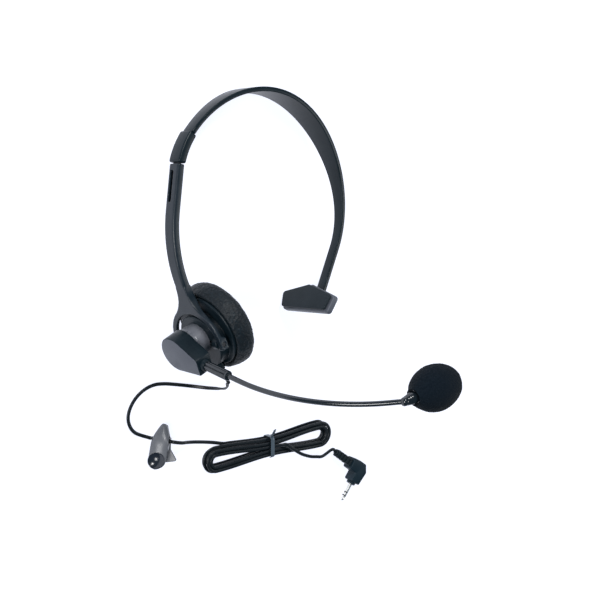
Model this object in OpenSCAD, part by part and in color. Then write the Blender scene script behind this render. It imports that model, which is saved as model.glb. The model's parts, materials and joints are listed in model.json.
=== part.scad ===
// Single-ear telephone headset with a boom microphone, lying on its back beside its tied cord.
// Millimetres. The floor is z = 0, and the cushion, the temple rest and the crown touch it.

/* [Headband] */
// Radius of the band's middle surface
band_r = 60; // [54:0.5:68]
// Thickness of the band
band_t = 2.6; // [2:0.1:3.4]
// Swell of the band's curve over the crown, which the right side draws in again
band_sway = 2.2; // [0:0.1:3]
// Width of the band at its widest, near the crown
crown_w = 18; // [12:0.5:24]
// Width of the sleeve and of the band where it joins it
sleeve_w = 9.2; // [8.6:0.1:12]
// Thickness of the sleeve
sleeve_t = 4.8; // [4.4:0.1:6]
// Radius of the sleeve's own curve
sleeve_r = 41; // [36:0.5:50]
// Angle that the sleeve turns through
sleeve_turn = 24; // [20:1:28]
// Width of the straight stem that carries the temple rest
stem_w = 6; // [5:0.1:8]
// Length of the stem, from the end of the curve to the hinge
stem_len = 29; // [24:0.5:36]

/* [Size slide] */
// Width of the sliding tongue
tongue_w = 5.2; // [4:0.1:6]
// Thickness of the tongue
tongue_t = 1.2; // [0.8:0.1:1.6]
// Length of the tongue below the sleeve
tongue_len = 22; // [18:0.5:24]
// Length of the tongue held inside the sleeve
tongue_root = 5.2; // [4:0.1:6]
// Travel of the slide
slide_travel = 13; // [8:0.5:14]
// Clearance all round the tongue
slide_gap = 0.2; // [0.1:0.05:0.3]
// Outward slant of the slide
slide_tilt = 7; // [4:0.5:9]

/* [Yoke] */
// Width of the arm
arm_w = 8; // [7.4:0.1:9]
// Thickness of the arm
arm_t = 4.4; // [4:0.1:5.4]
// Length of the arm's straight top, which holds the tongue
arm_straight = 24.5; // [20:0.5:28]
// Inner radius of the fork
fork_r = 16.6; // [16.4:0.1:18]
// Width of each prong
prong_w = 3.1; // [2.6:0.1:4]
// Inward slant of the fork
fork_lean = 21.5; // [20:0.5:24]
// Radius of the flare between arm and fork
flare_r = 18; // [8:0.5:20]
// Width of the window over the tongue
window_w = 2.4; // [1.6:0.1:3]
// Length of the window
window_len = 16; // [8:0.5:18]

/* [Ear cup] */
// Distance of the cushion's middle to the left of the band's middle
ear_out = 28.8; // [24:0.2:32]
// Distance of the cushion's middle below the band's middle
ear_drop = 61.6; // [58:0.2:66]
// Upward slant of the cup's axis
cup_lean = 27; // [24:1:31]
// Radius of the foam cushion
cushion_r = 24.2; // [22.5:0.1:28]
// Thickness of the foam cushion
cushion_t = 12; // [9:0.5:16]
// Depth of the hollow in the cushion's face
cushion_dish = 2.5; // [1:0.1:4]
// Radius of the cup shell's rim
shell_r = 20; // [19:0.1:21.5]
// Depth of the cup shell
shell_depth = 8.5; // [8:0.1:11]
// Wall of the cup shell
shell_wall = 1.3; // [1:0.1:1.6]
// Distance from the shell's front to the pivot axis
pivot_depth = 8.2; // [8:0.1:9.5]
// Radius of the pivot pins
pivot_r = 1.2; // [0.9:0.1:1.4]
// Thickness of the baffle plate
baffle_t = 1.4; // [1.2:0.1:1.6]
// Radius of the driver's frame
driver_r = 10; // [8:0.5:10]
// Radius of the driver's magnet pot
magnet_r = 7; // [5:0.5:8]

/* [Boom swivel] */
// Radius of the hub barrel
hub_r = 8.6; // [7.5:0.1:9]
// Length of the hub barrel
hub_len = 8.1; // [7.6:0.1:11]
// Radius of the spindle that turns in the hub
spindle_r = 3; // [2:0.1:4]
// Radius of the pod's round head
pod_r = 9.7; // [9.2:0.1:11]
// Length of the pod from the swivel axis to its far corner
pod_len = 18; // [17:0.5:22]
// Thickness of the whole pod
pod_t = 9.1; // [8.6:0.1:11]
// Wall of the pod
pod_wall = 1.4; // [1:0.1:1.8]
// Angle of the boom below straight ahead
boom_drop = 17; // [10:1:24]

/* [Boom] */
// Radius of the splined collar
collar_r = 2.6; // [2.2:0.1:3]
// Length of the collar outside the pod
collar_len = 17; // [12:0.5:22]
// Number of grooves round the collar
collar_splines = 8; // [6:1:10]
// Radius of the gooseneck
neck_r = 1.35; // [1.1:0.05:1.7]
// Straight length of the gooseneck after the collar
neck_lead = 6; // [3:0.5:12]
// Radius of the gooseneck's bend
neck_bend_r = 113; // [95:1:140]
// Angle of the gooseneck's bend towards the mouth
neck_bend = 41; // [30:1:50]
// Straight length of the gooseneck before the microphone
neck_tail = 7.5; // [4:0.5:14]

/* [Microphone] */
// Radius of the microphone barrel
mic_r = 3; // [2.6:0.1:3.6]
// Length of the barrel
mic_len = 12; // [10:0.5:16]
// Turn of the microphone towards the temple
mic_turn = -14.5; // [-20:0.5:30]
// Angle by which the microphone is bent in towards the mouth
mic_nod = 40; // [0:1:45]
// Radius of the foam windscreen
screen_r = 11.5; // [10:0.1:14]
// Length of the foam windscreen
screen_len = 29.5; // [22:0.5:32]

/* [Temple rest] */
// Width across the shoulders
temple_w = 41.2; // [32:0.2:48]
// Width along the foot
temple_foot = 36.8; // [28:0.2:42]
// Height of the rest
temple_h = 15.8; // [13:0.2:20]
// Drop from the peak to the shoulders
temple_peak = 5.8; // [3:0.1:7]
// Thickness of the outer shell
temple_shell_t = 3.8; // [3.4:0.1:5]
// Thickness of the inner pad
temple_pad_t = 2.4; // [1.6:0.1:3.5]
// Radius of the hinge pin
temple_pin_r = 0.8; // [0.6:0.05:1]

/* [Cord] */
// Diameter of the cord
cord_d = 1.7; // [1.4:0.05:1.8]
// Number of loops in the hank
hank_loops = 6; // [3:3:6]
// Half length of the hank between its end arcs
hank_half = 38; // [30:1:46]
// Radius of the outermost end arc
hank_lobe = 7.4; // [7.2:0.1:9]
// Distance between strands that lie side by side
hank_step = 2.2; // [2.2:0.05:2.4]
// Thickness of the tie
tie_t = 0.7; // [0.5:0.1:1]
// Width of the tie
tie_w = 2.6; // [1.5:0.1:4]
// Length of the cord bush
bush_len = 7; // [5:0.5:10]
// Turn of the cord's exit towards the front
bush_turn = 10; // [0:1:15]

/* [Clothing clip] */
// Width of the lever at its tail
clip_w = 9.8; // [9.4:0.1:14]
// Length of the lever ahead of its hinge
clip_nose = 12.2; // [10:0.1:14]
// Length of the lever behind its hinge
clip_tail = 11.6; // [10:0.1:15]
// Height of the hinge above the base plate's underside
clip_hinge_h = 5.2; // [5:0.1:6.5]
// Thickness of the base plate
clip_plate = 1.6; // [1.2:0.1:1.8]
// Radius of the clip's hinge pin
clip_pin_r = 0.8; // [0.6:0.05:1]

/* [Plug] */
// Radius of the plug's pin
jack_r = 1.25; // [1.25, 1.75]
// Length of the plug's pin
jack_len = 11.4; // [11:0.1:15]
// Thickness of the plug's moulding
plug_t = 7.2; // [6.4:0.1:9]
// Length of the ribbed boot
boot_len = 14.5; // [10:0.5:18]
// Number of ribs on the boot
boot_ribs = 5; // [3:1:7]

/* [Hidden] */
$fn = 64;

black = [0.13, 0.14, 0.16];
satin = [0.22, 0.23, 0.26];
foam = [0.09, 0.10, 0.11];
steel = [0.72, 0.73, 0.75];
rubber = [0.11, 0.12, 0.13];

// Clearance between a shaft and its running bore
run_gap = 0.05;
// Clearance between pieces that are fixed to each other
fix_gap = 0.02;
// Clearance between pieces that swing past each other
swing_gap = 0.3;
// Overshoot of a cutting shape past the face it cuts
cut = 1;
// Overlap of two shapes that are fused into one solid
fuse = 0.2;
// Step in the boom's radius where its end is crimped for the microphone
crimp = 0.12;

// Shape helpers
function unit(v) = v / norm(v);
function mix(a, b, t) = a + (b - a) * t;
function ease(t) = 0.5 - 0.5 * cos(180 * max(0, min(1, t)));
function polar(r, a) = r * [cos(a), sin(a)];
function arc(c, r, a0, a1, n) = [for (i = [0:n]) c + polar(r, mix(a0, a1, i / n))];
// Arc of radius r, in n steps, that rounds the corner q between p and s
function corner_arc(p, q, s, r, n) =
    let (d1 = unit(q - p), d2 = unit(s - q))
    let (turn = atan2(d1.x * d2.y - d1.y * d2.x, d1 * d2))
    let (side = turn < 0 ? -1 : 1, a = atan2(-d1.x, d1.y))
    let (out = unit([d1.y + d2.y, -d1.x - d2.x]))
    let (c = q - side * r / cos(turn / 2) * out)
    [for (k = [0:n]) c + side * polar(r, a + turn * k / n)];
// Counter-clockwise outline with every corner rounded
function rounded(pts, r, n = 5) =
    let (m = len(pts))
    [for (i = [0:m - 1]) each corner_arc(pts[(i + m - 1) % m], pts[i], pts[(i + 1) % m], r, n)];

// Closed skin over a run of rings that all have the same number of points
module skin(rings) {
    k = len(rings[0]);
    last = (len(rings) - 1) * k;
    sides = [for (i = [0:len(rings) - 2], j = [0:k - 1])
        let (a = i * k + j, b = i * k + (j + 1) % k)
        each [[a, a + k, b + k], [a, b + k, b]]];
    caps = [for (j = [1:k - 2]) each [[0, j, j + 1], [last, last + j + 1, last + j]]];
    polyhedron(points = [for (r = rings) each r], faces = concat(sides, caps));
}
function tangents(p) =
    [for (i = [0:len(p) - 1]) unit(p[min(i + 1, len(p) - 1)] - p[max(i - 1, 0)])];
function carried(n, t) = unit(n - (n * t) * t);
// Rings of a round tube along a path, carried along it without twisting
function tube_rings(path, r, sides, first = [0, 0.6, 0.8]) =
    let (t = tangents(path), end = len(path) - 1)
    [for (i = 0, n = carried(first, t[0]); i <= end; i = i + 1, n = carried(n, t[min(i, end)]))
        let (b = cross(t[i], n))
        [for (j = [0:sides - 1]) path[i] + r * (cos(360 * j / sides) * n + sin(360 * j / sides) * b)]];
// Smooth curve through hand-chosen points, with a fixed number of steps between each two
function curve_at(a, b, c, d, t) =
    0.5 * (2 * b + (c - a) * t + (2 * a - 5 * b + 4 * c - d) * t * t
        + (3 * b - a - 3 * c + d) * t * t * t);
function curve(p, steps) =
    let (m = len(p) - 1)
    concat([for (i = [0:m - 1], k = [0:steps - 1])
        curve_at(p[max(i - 1, 0)], p[i], p[i + 1], p[min(i + 2, m)], k / steps)], [p[m]]);

// Headset frame: x to the right ear, y to the back, z up, with the band's centre at zero
// A leaning frame there has x forward, y down and z towards the head on the cup's side
module leaning(at, lean) {
    translate([at.x, 0, at.y]) rotate([0, lean, 0]) rotate([0, 0, -90]) children();
}
function lean_point(at, lean, p) =
    [at.x + p.y * cos(lean) + p.z * sin(lean), -p.x, at.y - p.y * sin(lean) + p.z * cos(lean)];

// Band
crown_a = 75;
sleeve_a = 142;
stem_a = -23.3;
stem_wide_a = -20;
band_step = 4;
band_chamfer = 0.6;
function band_width(a) = a > crown_a
    ? mix(crown_w, sleeve_w - 2 * swing_gap, ease((a - crown_a) / (sleeve_a - crown_a)))
    : mix(crown_w, stem_w, ease((crown_a - a) / (crown_a - stem_wide_a)));
function band_turn(a) = (sleeve_a - a) / (sleeve_a - stem_a);
function band_reach(a) = band_r + band_sway * sin(360 * band_turn(a)) * sin(180 * band_turn(a));
sleeve_c = polar(band_r - sleeve_r, sleeve_a);
sleeve_end_a = sleeve_a + sleeve_turn;
slide_at = sleeve_c + polar(sleeve_r, sleeve_end_a);
stem_at = polar(band_r, stem_a);
stem_dir = [sin(stem_a), -cos(stem_a)];
temple_at = stem_at + stem_len * stem_dir;
temple_lean = 90 - stem_a;
eye_r = 1.9;

// Slide and arm
slide_lean = 90 + slide_tilt;
window_top = 4;
window_x = -1.2;
rivet_r = 0.9;
rivet_y = -2.6;
arm_from = slide_at + arm_straight * [cos(slide_lean), -sin(slide_lean)];

// Ear cup, with z = 0 in the middle of the cushion
cup_at = [-ear_out, -ear_drop];
cup_turn = 90 - cup_lean;
front_z = -cushion_t / 2;
back_z = front_z - shell_depth;
pivot_y = 2.7;
pivot_z = front_z - pivot_depth;
hub_end_z = back_z - hub_len;
baffle_back_z = front_z - baffle_t;
drum_r = 15;
ledge_t = 1;
lug_r = 3;
lug_gap = 0.4;
lug_w = 4;
lug_x = fork_r - lug_gap - lug_w;
pin_x = drum_r - shell_wall + 0.2;
pivot_tip = fork_r + prong_w - 0.5;

// Fork, in a frame on the pivot axis
pivot_at = cup_at + pivot_y * [cos(cup_turn), -sin(cup_turn)] + pivot_z * [sin(cup_turn), cos(cup_turn)];
fork_turn = 90 - fork_lean;
fork_out = fork_r + prong_w;
prong_drop = 2.8;
prong_t = 2.2;
eye_drop = 4.4;
flare_c = [arm_w / 2 + flare_r, -sqrt(pow(fork_out + flare_r, 2) - pow(arm_w / 2 + flare_r, 2))];
arm_to = pivot_at + flare_c.y * [cos(fork_turn), -sin(fork_turn)];
// The arm's bend leaves the straight top tangentially and ends at the flare
arm_chord = arm_to - arm_from;
bend_turn = 2 * (atan2(arm_chord.x, -arm_chord.y) + slide_tilt);
bend_r = norm(arm_chord) / (2 * sin(bend_turn / 2));

// Pod and boom, with x along the boom and y down from it
pod_back_z = hub_end_z - swing_gap;
pod_face_z = pod_back_z - pod_t;
pod_split_z = (pod_back_z + pod_face_z) / 2;
boom_y = 2;
pod_end_x = pod_len - 1.2;
pod_end_y = -2.8;
pod_tip_y = 6.2;
collar_root = 5;
collar_x = mix(pod_end_x, pod_len, (boom_y - pod_end_y) / (pod_tip_y - pod_end_y));
spindle_len = 6.4;
ring_t = 0.8;
neck_root = 6;
neck_x = collar_x + collar_len;

// Temple rest, with y = 0 at its hinge and z away from the head
temple_top = -4.2;
temple_back_z = -3.8;
temple_split_z = temple_back_z - temple_shell_t;
temple_round = 2;
temple_outline = rounded([
    [0, temple_top], [temple_w / 2, temple_top + temple_peak], [temple_foot / 2, temple_top + temple_h],
    [-temple_foot / 2, temple_top + temple_h], [-temple_w / 2, temple_top + temple_peak]], temple_round);
temple_reach = max([for (p = temple_outline) p.x]);
temple_slot = stem_w / 2 + 0.4;
temple_pin_half = temple_slot + 3;

// Lying on its back: the floor passes through the cushion, the temple rest and the crown
touch_cup = [cup_at.x, cushion_r, cup_at.y];
touch_temple = lean_point(temple_at, temple_lean,
    [-temple_reach, temple_top + temple_peak, temple_back_z - temple_shell_t / 2]);
touch_crown = [band_reach(crown_a) * cos(crown_a), crown_w / 2, band_reach(crown_a) * sin(crown_a)];
floor_up = unit(cross(touch_temple - touch_cup, touch_crown - touch_cup));
floor_x = unit([1, 0, 0] - floor_up.x * floor_up);
floor_y = cross(floor_up, floor_x);
// Middle of the headset on the floor, from the point where the cushion touches it
middle = [29.1, 50.9, 0];
function laid(p) =
    [floor_x * (p - touch_cup), floor_y * (p - touch_cup), floor_up * (p - touch_cup)] - middle;
function laid_dir(d) = [floor_x * d, floor_y * d, floor_up * d];
module lay() {
    translate(-middle)
        multmatrix([concat(floor_x, [0]), concat(floor_y, [0]), concat(floor_up, [0])])
            translate(-touch_cup)
                children();
}
module in_cup() lay() leaning(cup_at, cup_turn) children();
module in_drum() in_cup() translate([0, pivot_y, 0]) children();
module in_slide() lay() leaning(slide_at, slide_lean) children();
module in_temple() lay() leaning(temple_at, temple_lean) children();
module in_boom() in_cup() rotate([0, 0, boom_drop]) children();
// Pieces on the floor are placed from the point where the cushion touches it
module on_floor() translate(-middle) children();

// Section of the band at a point of its middle line, rounded off at the four edges
function band_ring(p, a, w, t) =
    let (q = t / 2, h = w / 2, c = band_chamfer)
    [for (s = [[q, c - h], [q, h - c], [q - c, h], [c - q, h],
        [-q, h - c], [-q, c - h], [c - q, -h], [q - c, -h]])
        [p.x + s.x * cos(a), s.y, p.y + s.x * sin(a)]];
band_steps = ceil((sleeve_a - stem_a) / band_step);
band_tuck = 6;

module headband() {
    rings = concat(
        [band_ring(temple_at, stem_a, stem_w, band_t)],
        [for (i = [0:band_steps]) let (a = mix(stem_a, sleeve_a, i / band_steps))
            band_ring(polar(band_reach(a), a), a, band_width(a), band_t)],
        [band_ring(sleeve_c + polar(sleeve_r, sleeve_a + band_tuck), sleeve_a + band_tuck,
            sleeve_w - 2 * swing_gap, band_t)]);
    q = sleeve_t / 2;
    h = sleeve_w / 2;
    section = rounded([[-q, -h], [q, -h], [q, h], [-q, h]], 1);
    color(black) lay() difference() {
        union() {
            skin(rings);
            translate([sleeve_c.x, 0, sleeve_c.y])
                rotate([90, 0, 0]) rotate([0, 0, sleeve_a])
                    rotate_extrude(angle = sleeve_turn) translate([sleeve_r, 0]) polygon(section);
            translate([temple_at.x, stem_w / 2, temple_at.y]) rotate([90, 0, 0])
                cylinder(r = eye_r, h = stem_w);
        }
        translate([temple_at.x, stem_w, temple_at.y])
            rotate([90, 0, 0]) cylinder(r = temple_pin_r + run_gap, h = 2 * stem_w);
        leaning(slide_at, slide_lean) {
            tongue_bar(fix_gap, tongue_root + fix_gap, cut);
            translate([0, rivet_y, -tongue_t]) cylinder(r = rivet_r + fix_gap, h = 2 * sleeve_t);
        }
    }
}

// Straight bar of the tongue's section, grown by a gap, running from above to below the sleeve's end
module tongue_bar(gap, above, below) {
    w = tongue_w + 2 * gap;
    t = tongue_t + 2 * gap;
    translate([-w / 2, -above, -t / 2]) cube([w, above + below, t]);
}

module size_tongue() {
    notches = 5;
    notch_r = 0.35;
    color(steel) in_slide() difference() {
        tongue_bar(0, tongue_root, tongue_len);
        translate([0, rivet_y, -tongue_t]) cylinder(r = rivet_r + fix_gap, h = 2 * tongue_t);
        for (i = [1:notches], side = [-1, 1])
            translate([side * tongue_w / 2, i * slide_travel / notches, -tongue_t])
                cylinder(r = notch_r, h = 2 * tongue_t);
    }
}

module sleeve_rivet() {
    color(steel) in_slide() translate([0, rivet_y, -tongue_t])
        cylinder(r = rivet_r, h = tongue_t + sleeve_t / 2);
}

module yoke_arm() {
    top_gap = 0.6;
    stub = 0.8;
    q = arm_t / 2;
    h = arm_w / 2;
    section = rounded([[-h, -q], [h, -q], [h, q], [-h, q]], 1.2);
    flare_a = atan2(-flare_c.y, -flare_c.x);
    flare = concat([[0, -fork_r], [0, flare_c.y - stub], [h, flare_c.y - stub]],
        arc(flare_c, flare_r, 180, flare_a, 10));
    color(black) lay() difference() {
        union() {
            leaning(slide_at, slide_lean) {
                translate([0, top_gap, 0]) rotate([-90, 0, 0])
                    linear_extrude(arm_straight - top_gap) polygon(section);
                translate([0, arm_straight, bend_r]) rotate([0, 90, 0]) rotate_extrude(angle = bend_turn)
                    translate([bend_r, 0]) rotate([0, 0, 90]) polygon(section);
            }
            leaning(pivot_at, fork_turn) linear_extrude(arm_t, center = true) difference() {
                union() {
                    circle(fork_out);
                    for (side = [0, 1]) mirror([side, 0]) polygon(flare);
                    translate([-fork_out, 0]) square([2 * fork_out, prong_drop]);
                }
                circle(fork_r);
                translate([-fork_r, 0]) square([2 * fork_r, fork_out + cut]);
                translate([-fork_out - cut, prong_drop]) square([2 * (fork_out + cut), fork_out]);
            }
        }
        leaning(slide_at, slide_lean) {
            tongue_bar(slide_gap, cut, tongue_len + slide_gap);
            translate([window_x - window_w / 2, window_top, -arm_t]) cube([window_w, window_len, arm_t]);
        }
        leaning(pivot_at, fork_turn) {
            rotate([0, 90, 0]) cylinder(r = pivot_r + run_gap, h = 2 * (fork_out + cut), center = true);
            rotate([90, 0, 90]) translate([0, 0, -fork_out - cut]) linear_extrude(2 * (fork_out + cut))
                polygon([[-fork_out - 4, q], [-fork_r + 3, prong_t - q], [-eye_drop, prong_t - q],
                    [1.2 - eye_drop, q], [1.2 - eye_drop, arm_t], [-fork_out - 4, arm_t]]);
        }
    }
}

// Convex counter-clockwise outline moved inwards by d
function inset_corner(p, q, s, d) =
    let (d1 = unit(q - p), d2 = unit(s - q))
    q - d * sqrt(2 / (1 + d1 * d2)) * unit([d1.y + d2.y, -d1.x - d2.x]);
function inset(pts, d) =
    let (m = len(pts))
    [for (i = [0:m - 1]) inset_corner(pts[(i + m - 1) % m], pts[i], pts[(i + 1) % m], d)];

module temple_shell() {
    ear_r = eye_r + 0.4;
    ear_w = temple_pin_half - temple_slot;
    color(satin) in_temple() difference() {
        union() {
            translate([0, 0, temple_split_z]) linear_extrude(temple_shell_t) polygon(temple_outline);
            for (side = [0, 1]) mirror([side, 0, 0]) translate([temple_slot, 0, 0]) {
                rotate([0, 90, 0]) cylinder(r = ear_r, h = ear_w);
                translate([0, -ear_r, temple_back_z - cut]) cube([ear_w, 2 * ear_r, cut - temple_back_z]);
            }
        }
        rotate([0, 90, 0]) cylinder(r = temple_pin_r + fix_gap, h = 4 * temple_pin_half, center = true);
    }
}

module temple_pad() {
    pad_inset = 0.7;
    color(rubber) in_temple() translate([0, 0, temple_split_z - temple_pad_t])
        linear_extrude(temple_pad_t) polygon(inset(temple_outline, pad_inset));
}

module temple_pin() {
    color(steel) in_temple() rotate([0, 90, 0])
        cylinder(r = temple_pin_r, h = 2 * (temple_pin_half - fix_gap), center = true);
}

// Ear cup: a shallow rim that holds the baffle, and a drum behind it
ledge_z = baffle_back_z - ledge_t;
spigot_r = 5.5;
boss_r = 1.6;
boss_at = drum_r - shell_wall - boss_r - 0.2;
boss_floor = 1.6;
screw_r = 0.7;
screws = 3;
bush_y = pivot_y + drum_r + 1.6;
bush_z = (ledge_z + back_z) / 2;
bush_boss_r = 3;
bush_hole_r = 2.1;
bush_reach = bush_y - pivot_y;
module toward_bush()
    translate([0, pivot_y, bush_z]) rotate([0, 0, -bush_turn]) rotate([-90, 0, 0]) children();
module around_screws() {
    for (i = [0:screws - 1]) translate([0, pivot_y, 0]) rotate([0, 0, 30 + i * 360 / screws])
        translate([boss_at, 0, 0]) children();
}

module cup_shell() {
    wall = shell_wall;
    bevel = 0.6;
    rim = [[0, ledge_z], [shell_r - bevel, ledge_z], [shell_r, ledge_z + bevel], [shell_r, front_z],
        [0, front_z]];
    drum = [[0, back_z], [drum_r - bevel, back_z], [drum_r, back_z + bevel], [drum_r, baffle_back_z],
        [0, baffle_back_z]];
    color(black) in_cup() difference() {
        union() {
            difference() {
                union() {
                    rotate_extrude() polygon(rim);
                    translate([0, pivot_y, 0]) rotate_extrude() polygon(drum);
                    for (side = [0, 1]) mirror([side, 0, 0]) translate([lug_x, pivot_y, pivot_z])
                        rotate([0, 90, 0]) cylinder(r = lug_r, h = lug_w);
                    toward_bush() cylinder(r = bush_boss_r, h = bush_reach);
                }
                translate([0, 0, baffle_back_z]) cylinder(r = shell_r - wall, h = 2 * baffle_t);
                translate([0, pivot_y, back_z + wall]) cylinder(r = drum_r - wall, h = shell_depth);
            }
            around_screws() translate([0, 0, back_z + wall / 2])
                cylinder(r = boss_r, h = baffle_back_z - back_z - wall / 2);
        }
        around_screws() translate([0, 0, back_z + boss_floor])
            cylinder(r = screw_r + fix_gap, h = shell_depth);
        translate([0, 0, back_z - cut]) cylinder(r = spigot_r + fix_gap, h = wall + 2 * cut);
        toward_bush() translate([0, 0, drum_r / 3]) cylinder(r = bush_hole_r, h = shell_r);
        translate([0, pivot_y, pivot_z]) rotate([0, 90, 0])
            cylinder(r = pivot_r + fix_gap, h = 2 * (fork_out + cut), center = true);
    }
}

module baffle_plate() {
    sound_r = 1.1;
    sound_ring = 5.5;
    color(black) in_cup() difference() {
        translate([0, 0, baffle_back_z]) cylinder(r = shell_r - shell_wall - fix_gap, h = baffle_t);
        around_screws() translate([0, 0, baffle_back_z - cut])
            cylinder(r = screw_r + run_gap, h = 2 * baffle_t);
        around_screws() translate([0, 0, front_z - screw_head])
            cylinder(r = screw_head_r + run_gap, h = 2 * cut);
        translate([0, pivot_y, baffle_back_z - cut]) {
            for (a = [0:45:315]) rotate([0, 0, a]) translate([sound_ring, 0, 0])
                cylinder(r = sound_r, h = 2 * baffle_t);
            cylinder(r = sound_r, h = 2 * baffle_t);
        }
    }
}

screw_head = 0.7;
screw_head_r = 1.4;
module baffle_screws() {
    color(steel) in_cup() around_screws() {
        translate([0, 0, front_z - screw_head]) cylinder(r = screw_head_r, h = screw_head - fix_gap);
        translate([0, 0, back_z + boss_floor + 0.4])
            cylinder(r = screw_r, h = front_z - screw_head - back_z - boss_floor - 0.4);
    }
}

driver_t = 1.8;
cone_seat = 2;
module driver_frame() {
    color(satin) in_drum() translate([0, 0, baffle_back_z - driver_t]) difference() {
        cylinder(r = driver_r, h = driver_t);
        translate([0, 0, driver_t - 0.8]) cylinder(r = driver_r - 1, h = 1 + cut);
        translate([0, 0, -cut]) cylinder(r = magnet_r - cone_seat, h = driver_t + 2 * cut);
    }
}

module driver_cone() {
    rim_z = baffle_back_z - 0.8;
    edge = driver_r - 1 - run_gap;
    dome = 4.5;
    color(foam) in_drum() rotate_extrude()
        polygon([[0, rim_z + 0.55], [dome - 1, rim_z + 0.3], [dome, rim_z], [edge, rim_z],
            [edge, rim_z + 0.25], [dome, rim_z + 0.25], [dome - 1, rim_z + 0.55], [0, rim_z + 0.75]]);
}

module driver_magnet() {
    depth = back_z + shell_wall + 0.4;
    top = baffle_back_z - driver_t;
    color(steel) in_drum() translate([0, 0, depth]) cylinder(r = magnet_r, h = top - depth);
}

// Foam cushion: crowned ring round a shallow hollow, drawn in behind where it grips the rim
module ear_cushion() {
    crown_r = cushion_r * 0.62;
    lip_r = shell_r + 0.3;
    side_r = cushion_t / 2;
    face = [for (i = [0:8]) let (t = i / 8)
        [crown_r * t, cushion_t / 2 - cushion_dish * (0.5 + 0.5 * cos(180 * t))]];
    bulge = [for (i = [1:9]) let (a = 90 - 10 * i)
        [crown_r + (cushion_r - crown_r) * cos(a), side_r * sin(a)]];
    back = [for (i = [1:5]) let (t = i / 5)
        [mix(cushion_r, lip_r + 1.6, t * t), -t * (side_r + 1.6)]];
    color(foam) in_cup() rotate_extrude(convexity = 4)
        polygon(concat(face, bulge, back, [[lip_r, front_z - 1.2], [lip_r, front_z], [0, front_z]]));
}

module pivot_pins() {
    color(steel) in_cup() for (side = [0, 1]) mirror([side, 0, 0])
        translate([pin_x, pivot_y, pivot_z]) rotate([0, 90, 0])
            cylinder(r = pivot_r, h = pivot_tip - pin_x);
}

hub_land = 4.2;
hub_bore_r = 5;
module hub_barrel() {
    ridge = 1.2;
    ridge_out = 0.5;
    color(black) in_cup() difference() {
        union() {
            translate([0, 0, hub_end_z]) cylinder(r = hub_r, h = hub_len);
            translate([0, 0, hub_end_z]) cylinder(r = hub_r + ridge_out, h = ridge);
            translate([0, 0, back_z]) cylinder(r = spigot_r, h = shell_wall);
        }
        translate([0, 0, hub_end_z - cut]) cylinder(r = spindle_r + run_gap, h = hub_len);
        translate([0, 0, hub_end_z + hub_land]) cylinder(r = hub_bore_r, h = hub_len);
    }
}

module cord_bush() {
    spigot = 4;
    flange = 1.2;
    flange_r = 2.9;
    color(rubber) in_cup() toward_bush() translate([0, 0, bush_reach]) {
        translate([0, 0, -spigot]) cylinder(r = bush_hole_r - fix_gap, h = spigot);
        cylinder(r = flange_r, h = flange);
        translate([0, 0, flange])
            cylinder(r1 = flange_r - 0.5, r2 = cord_d / 2 + 0.35, h = bush_len - flange);
    }
}

// Boom pod: round head on the swivel axis, tangent to a slanted end
pod_a = [pod_end_x, pod_end_y];
pod_b = [pod_len, pod_tip_y];
function tangent_a(p, side) = atan2(p.y, p.x) + side * acos(pod_r / norm(p));
pod_outline = concat(
    arc([0, 0], pod_r, tangent_a(pod_b, 1), 360 + tangent_a(pod_a, -1), 24), [pod_a, pod_b]);
pod_screw_at = [[10, 4.6], [-5.6, 0]];
pod_boss_r = 1.9;
pod_screw_r = 0.7;
pod_head_r = 1.3;
pod_head = 0.9;
module at_pod_screws() for (p = pod_screw_at) translate([p.x, p.y, 0]) children();
// One half of the pod, hollow towards the split, with its screw bosses and half the collar's socket
module pod_half(low, high, hollow_low, hollow_high) {
    difference() {
        union() {
            difference() {
                translate([0, 0, low]) linear_extrude(high - low) polygon(pod_outline);
                translate([0, 0, hollow_low])
                    linear_extrude(hollow_high - hollow_low) polygon(inset(pod_outline, pod_wall));
            }
            at_pod_screws() translate([0, 0, low]) cylinder(r = pod_boss_r, h = high - low);
            translate([pod_end_x - collar_root, boom_y - collar_r - 0.6, low])
                cube([collar_root - pod_wall / 2, 2 * collar_r + 1.2, high - low]);
        }
        translate([pod_end_x - collar_root, boom_y, pod_split_z]) rotate([0, 90, 0])
            cylinder(r = collar_r + fix_gap, h = pod_len);
        at_pod_screws() translate([0, 0, pod_face_z + pod_wall])
            cylinder(r = pod_screw_r + fix_gap, h = pod_t);
    }
}

module pod_base() {
    wire_r = 1.2;
    color(black) in_boom() difference() {
        union() {
            pod_half(pod_split_z, pod_back_z, pod_split_z - cut, pod_back_z - pod_wall);
            translate([0, 0, pod_back_z - pod_wall]) cylinder(r = spindle_r, h = pod_wall + spindle_len);
        }
        at_pod_screws() translate([0, 0, pod_back_z - pod_head])
            cylinder(r = pod_head_r + run_gap, h = pod_t);
        translate([0, 0, pod_back_z - pod_t]) cylinder(r = wire_r, h = pod_t + 2 * spindle_len);
        translate([0, 0, ring_z - run_gap]) difference() {
            cylinder(r = spindle_r + cut, h = ring_t + 2 * run_gap);
            translate([0, 0, -cut]) cylinder(r = ring_in_r, h = ring_t + 2 * cut + 1);
        }
    }
}

module pod_cover() {
    color(satin) in_boom() pod_half(pod_face_z, pod_split_z, pod_face_z + pod_wall, pod_split_z + cut);
}

module pod_screws() {
    foot_z = pod_face_z + pod_wall + 0.4;
    color(steel) in_boom() at_pod_screws() {
        translate([0, 0, pod_back_z - pod_head]) cylinder(r = pod_head_r, h = pod_head - fix_gap);
        translate([0, 0, foot_z]) cylinder(r = pod_screw_r, h = pod_back_z - pod_head - foot_z);
    }
}

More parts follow.
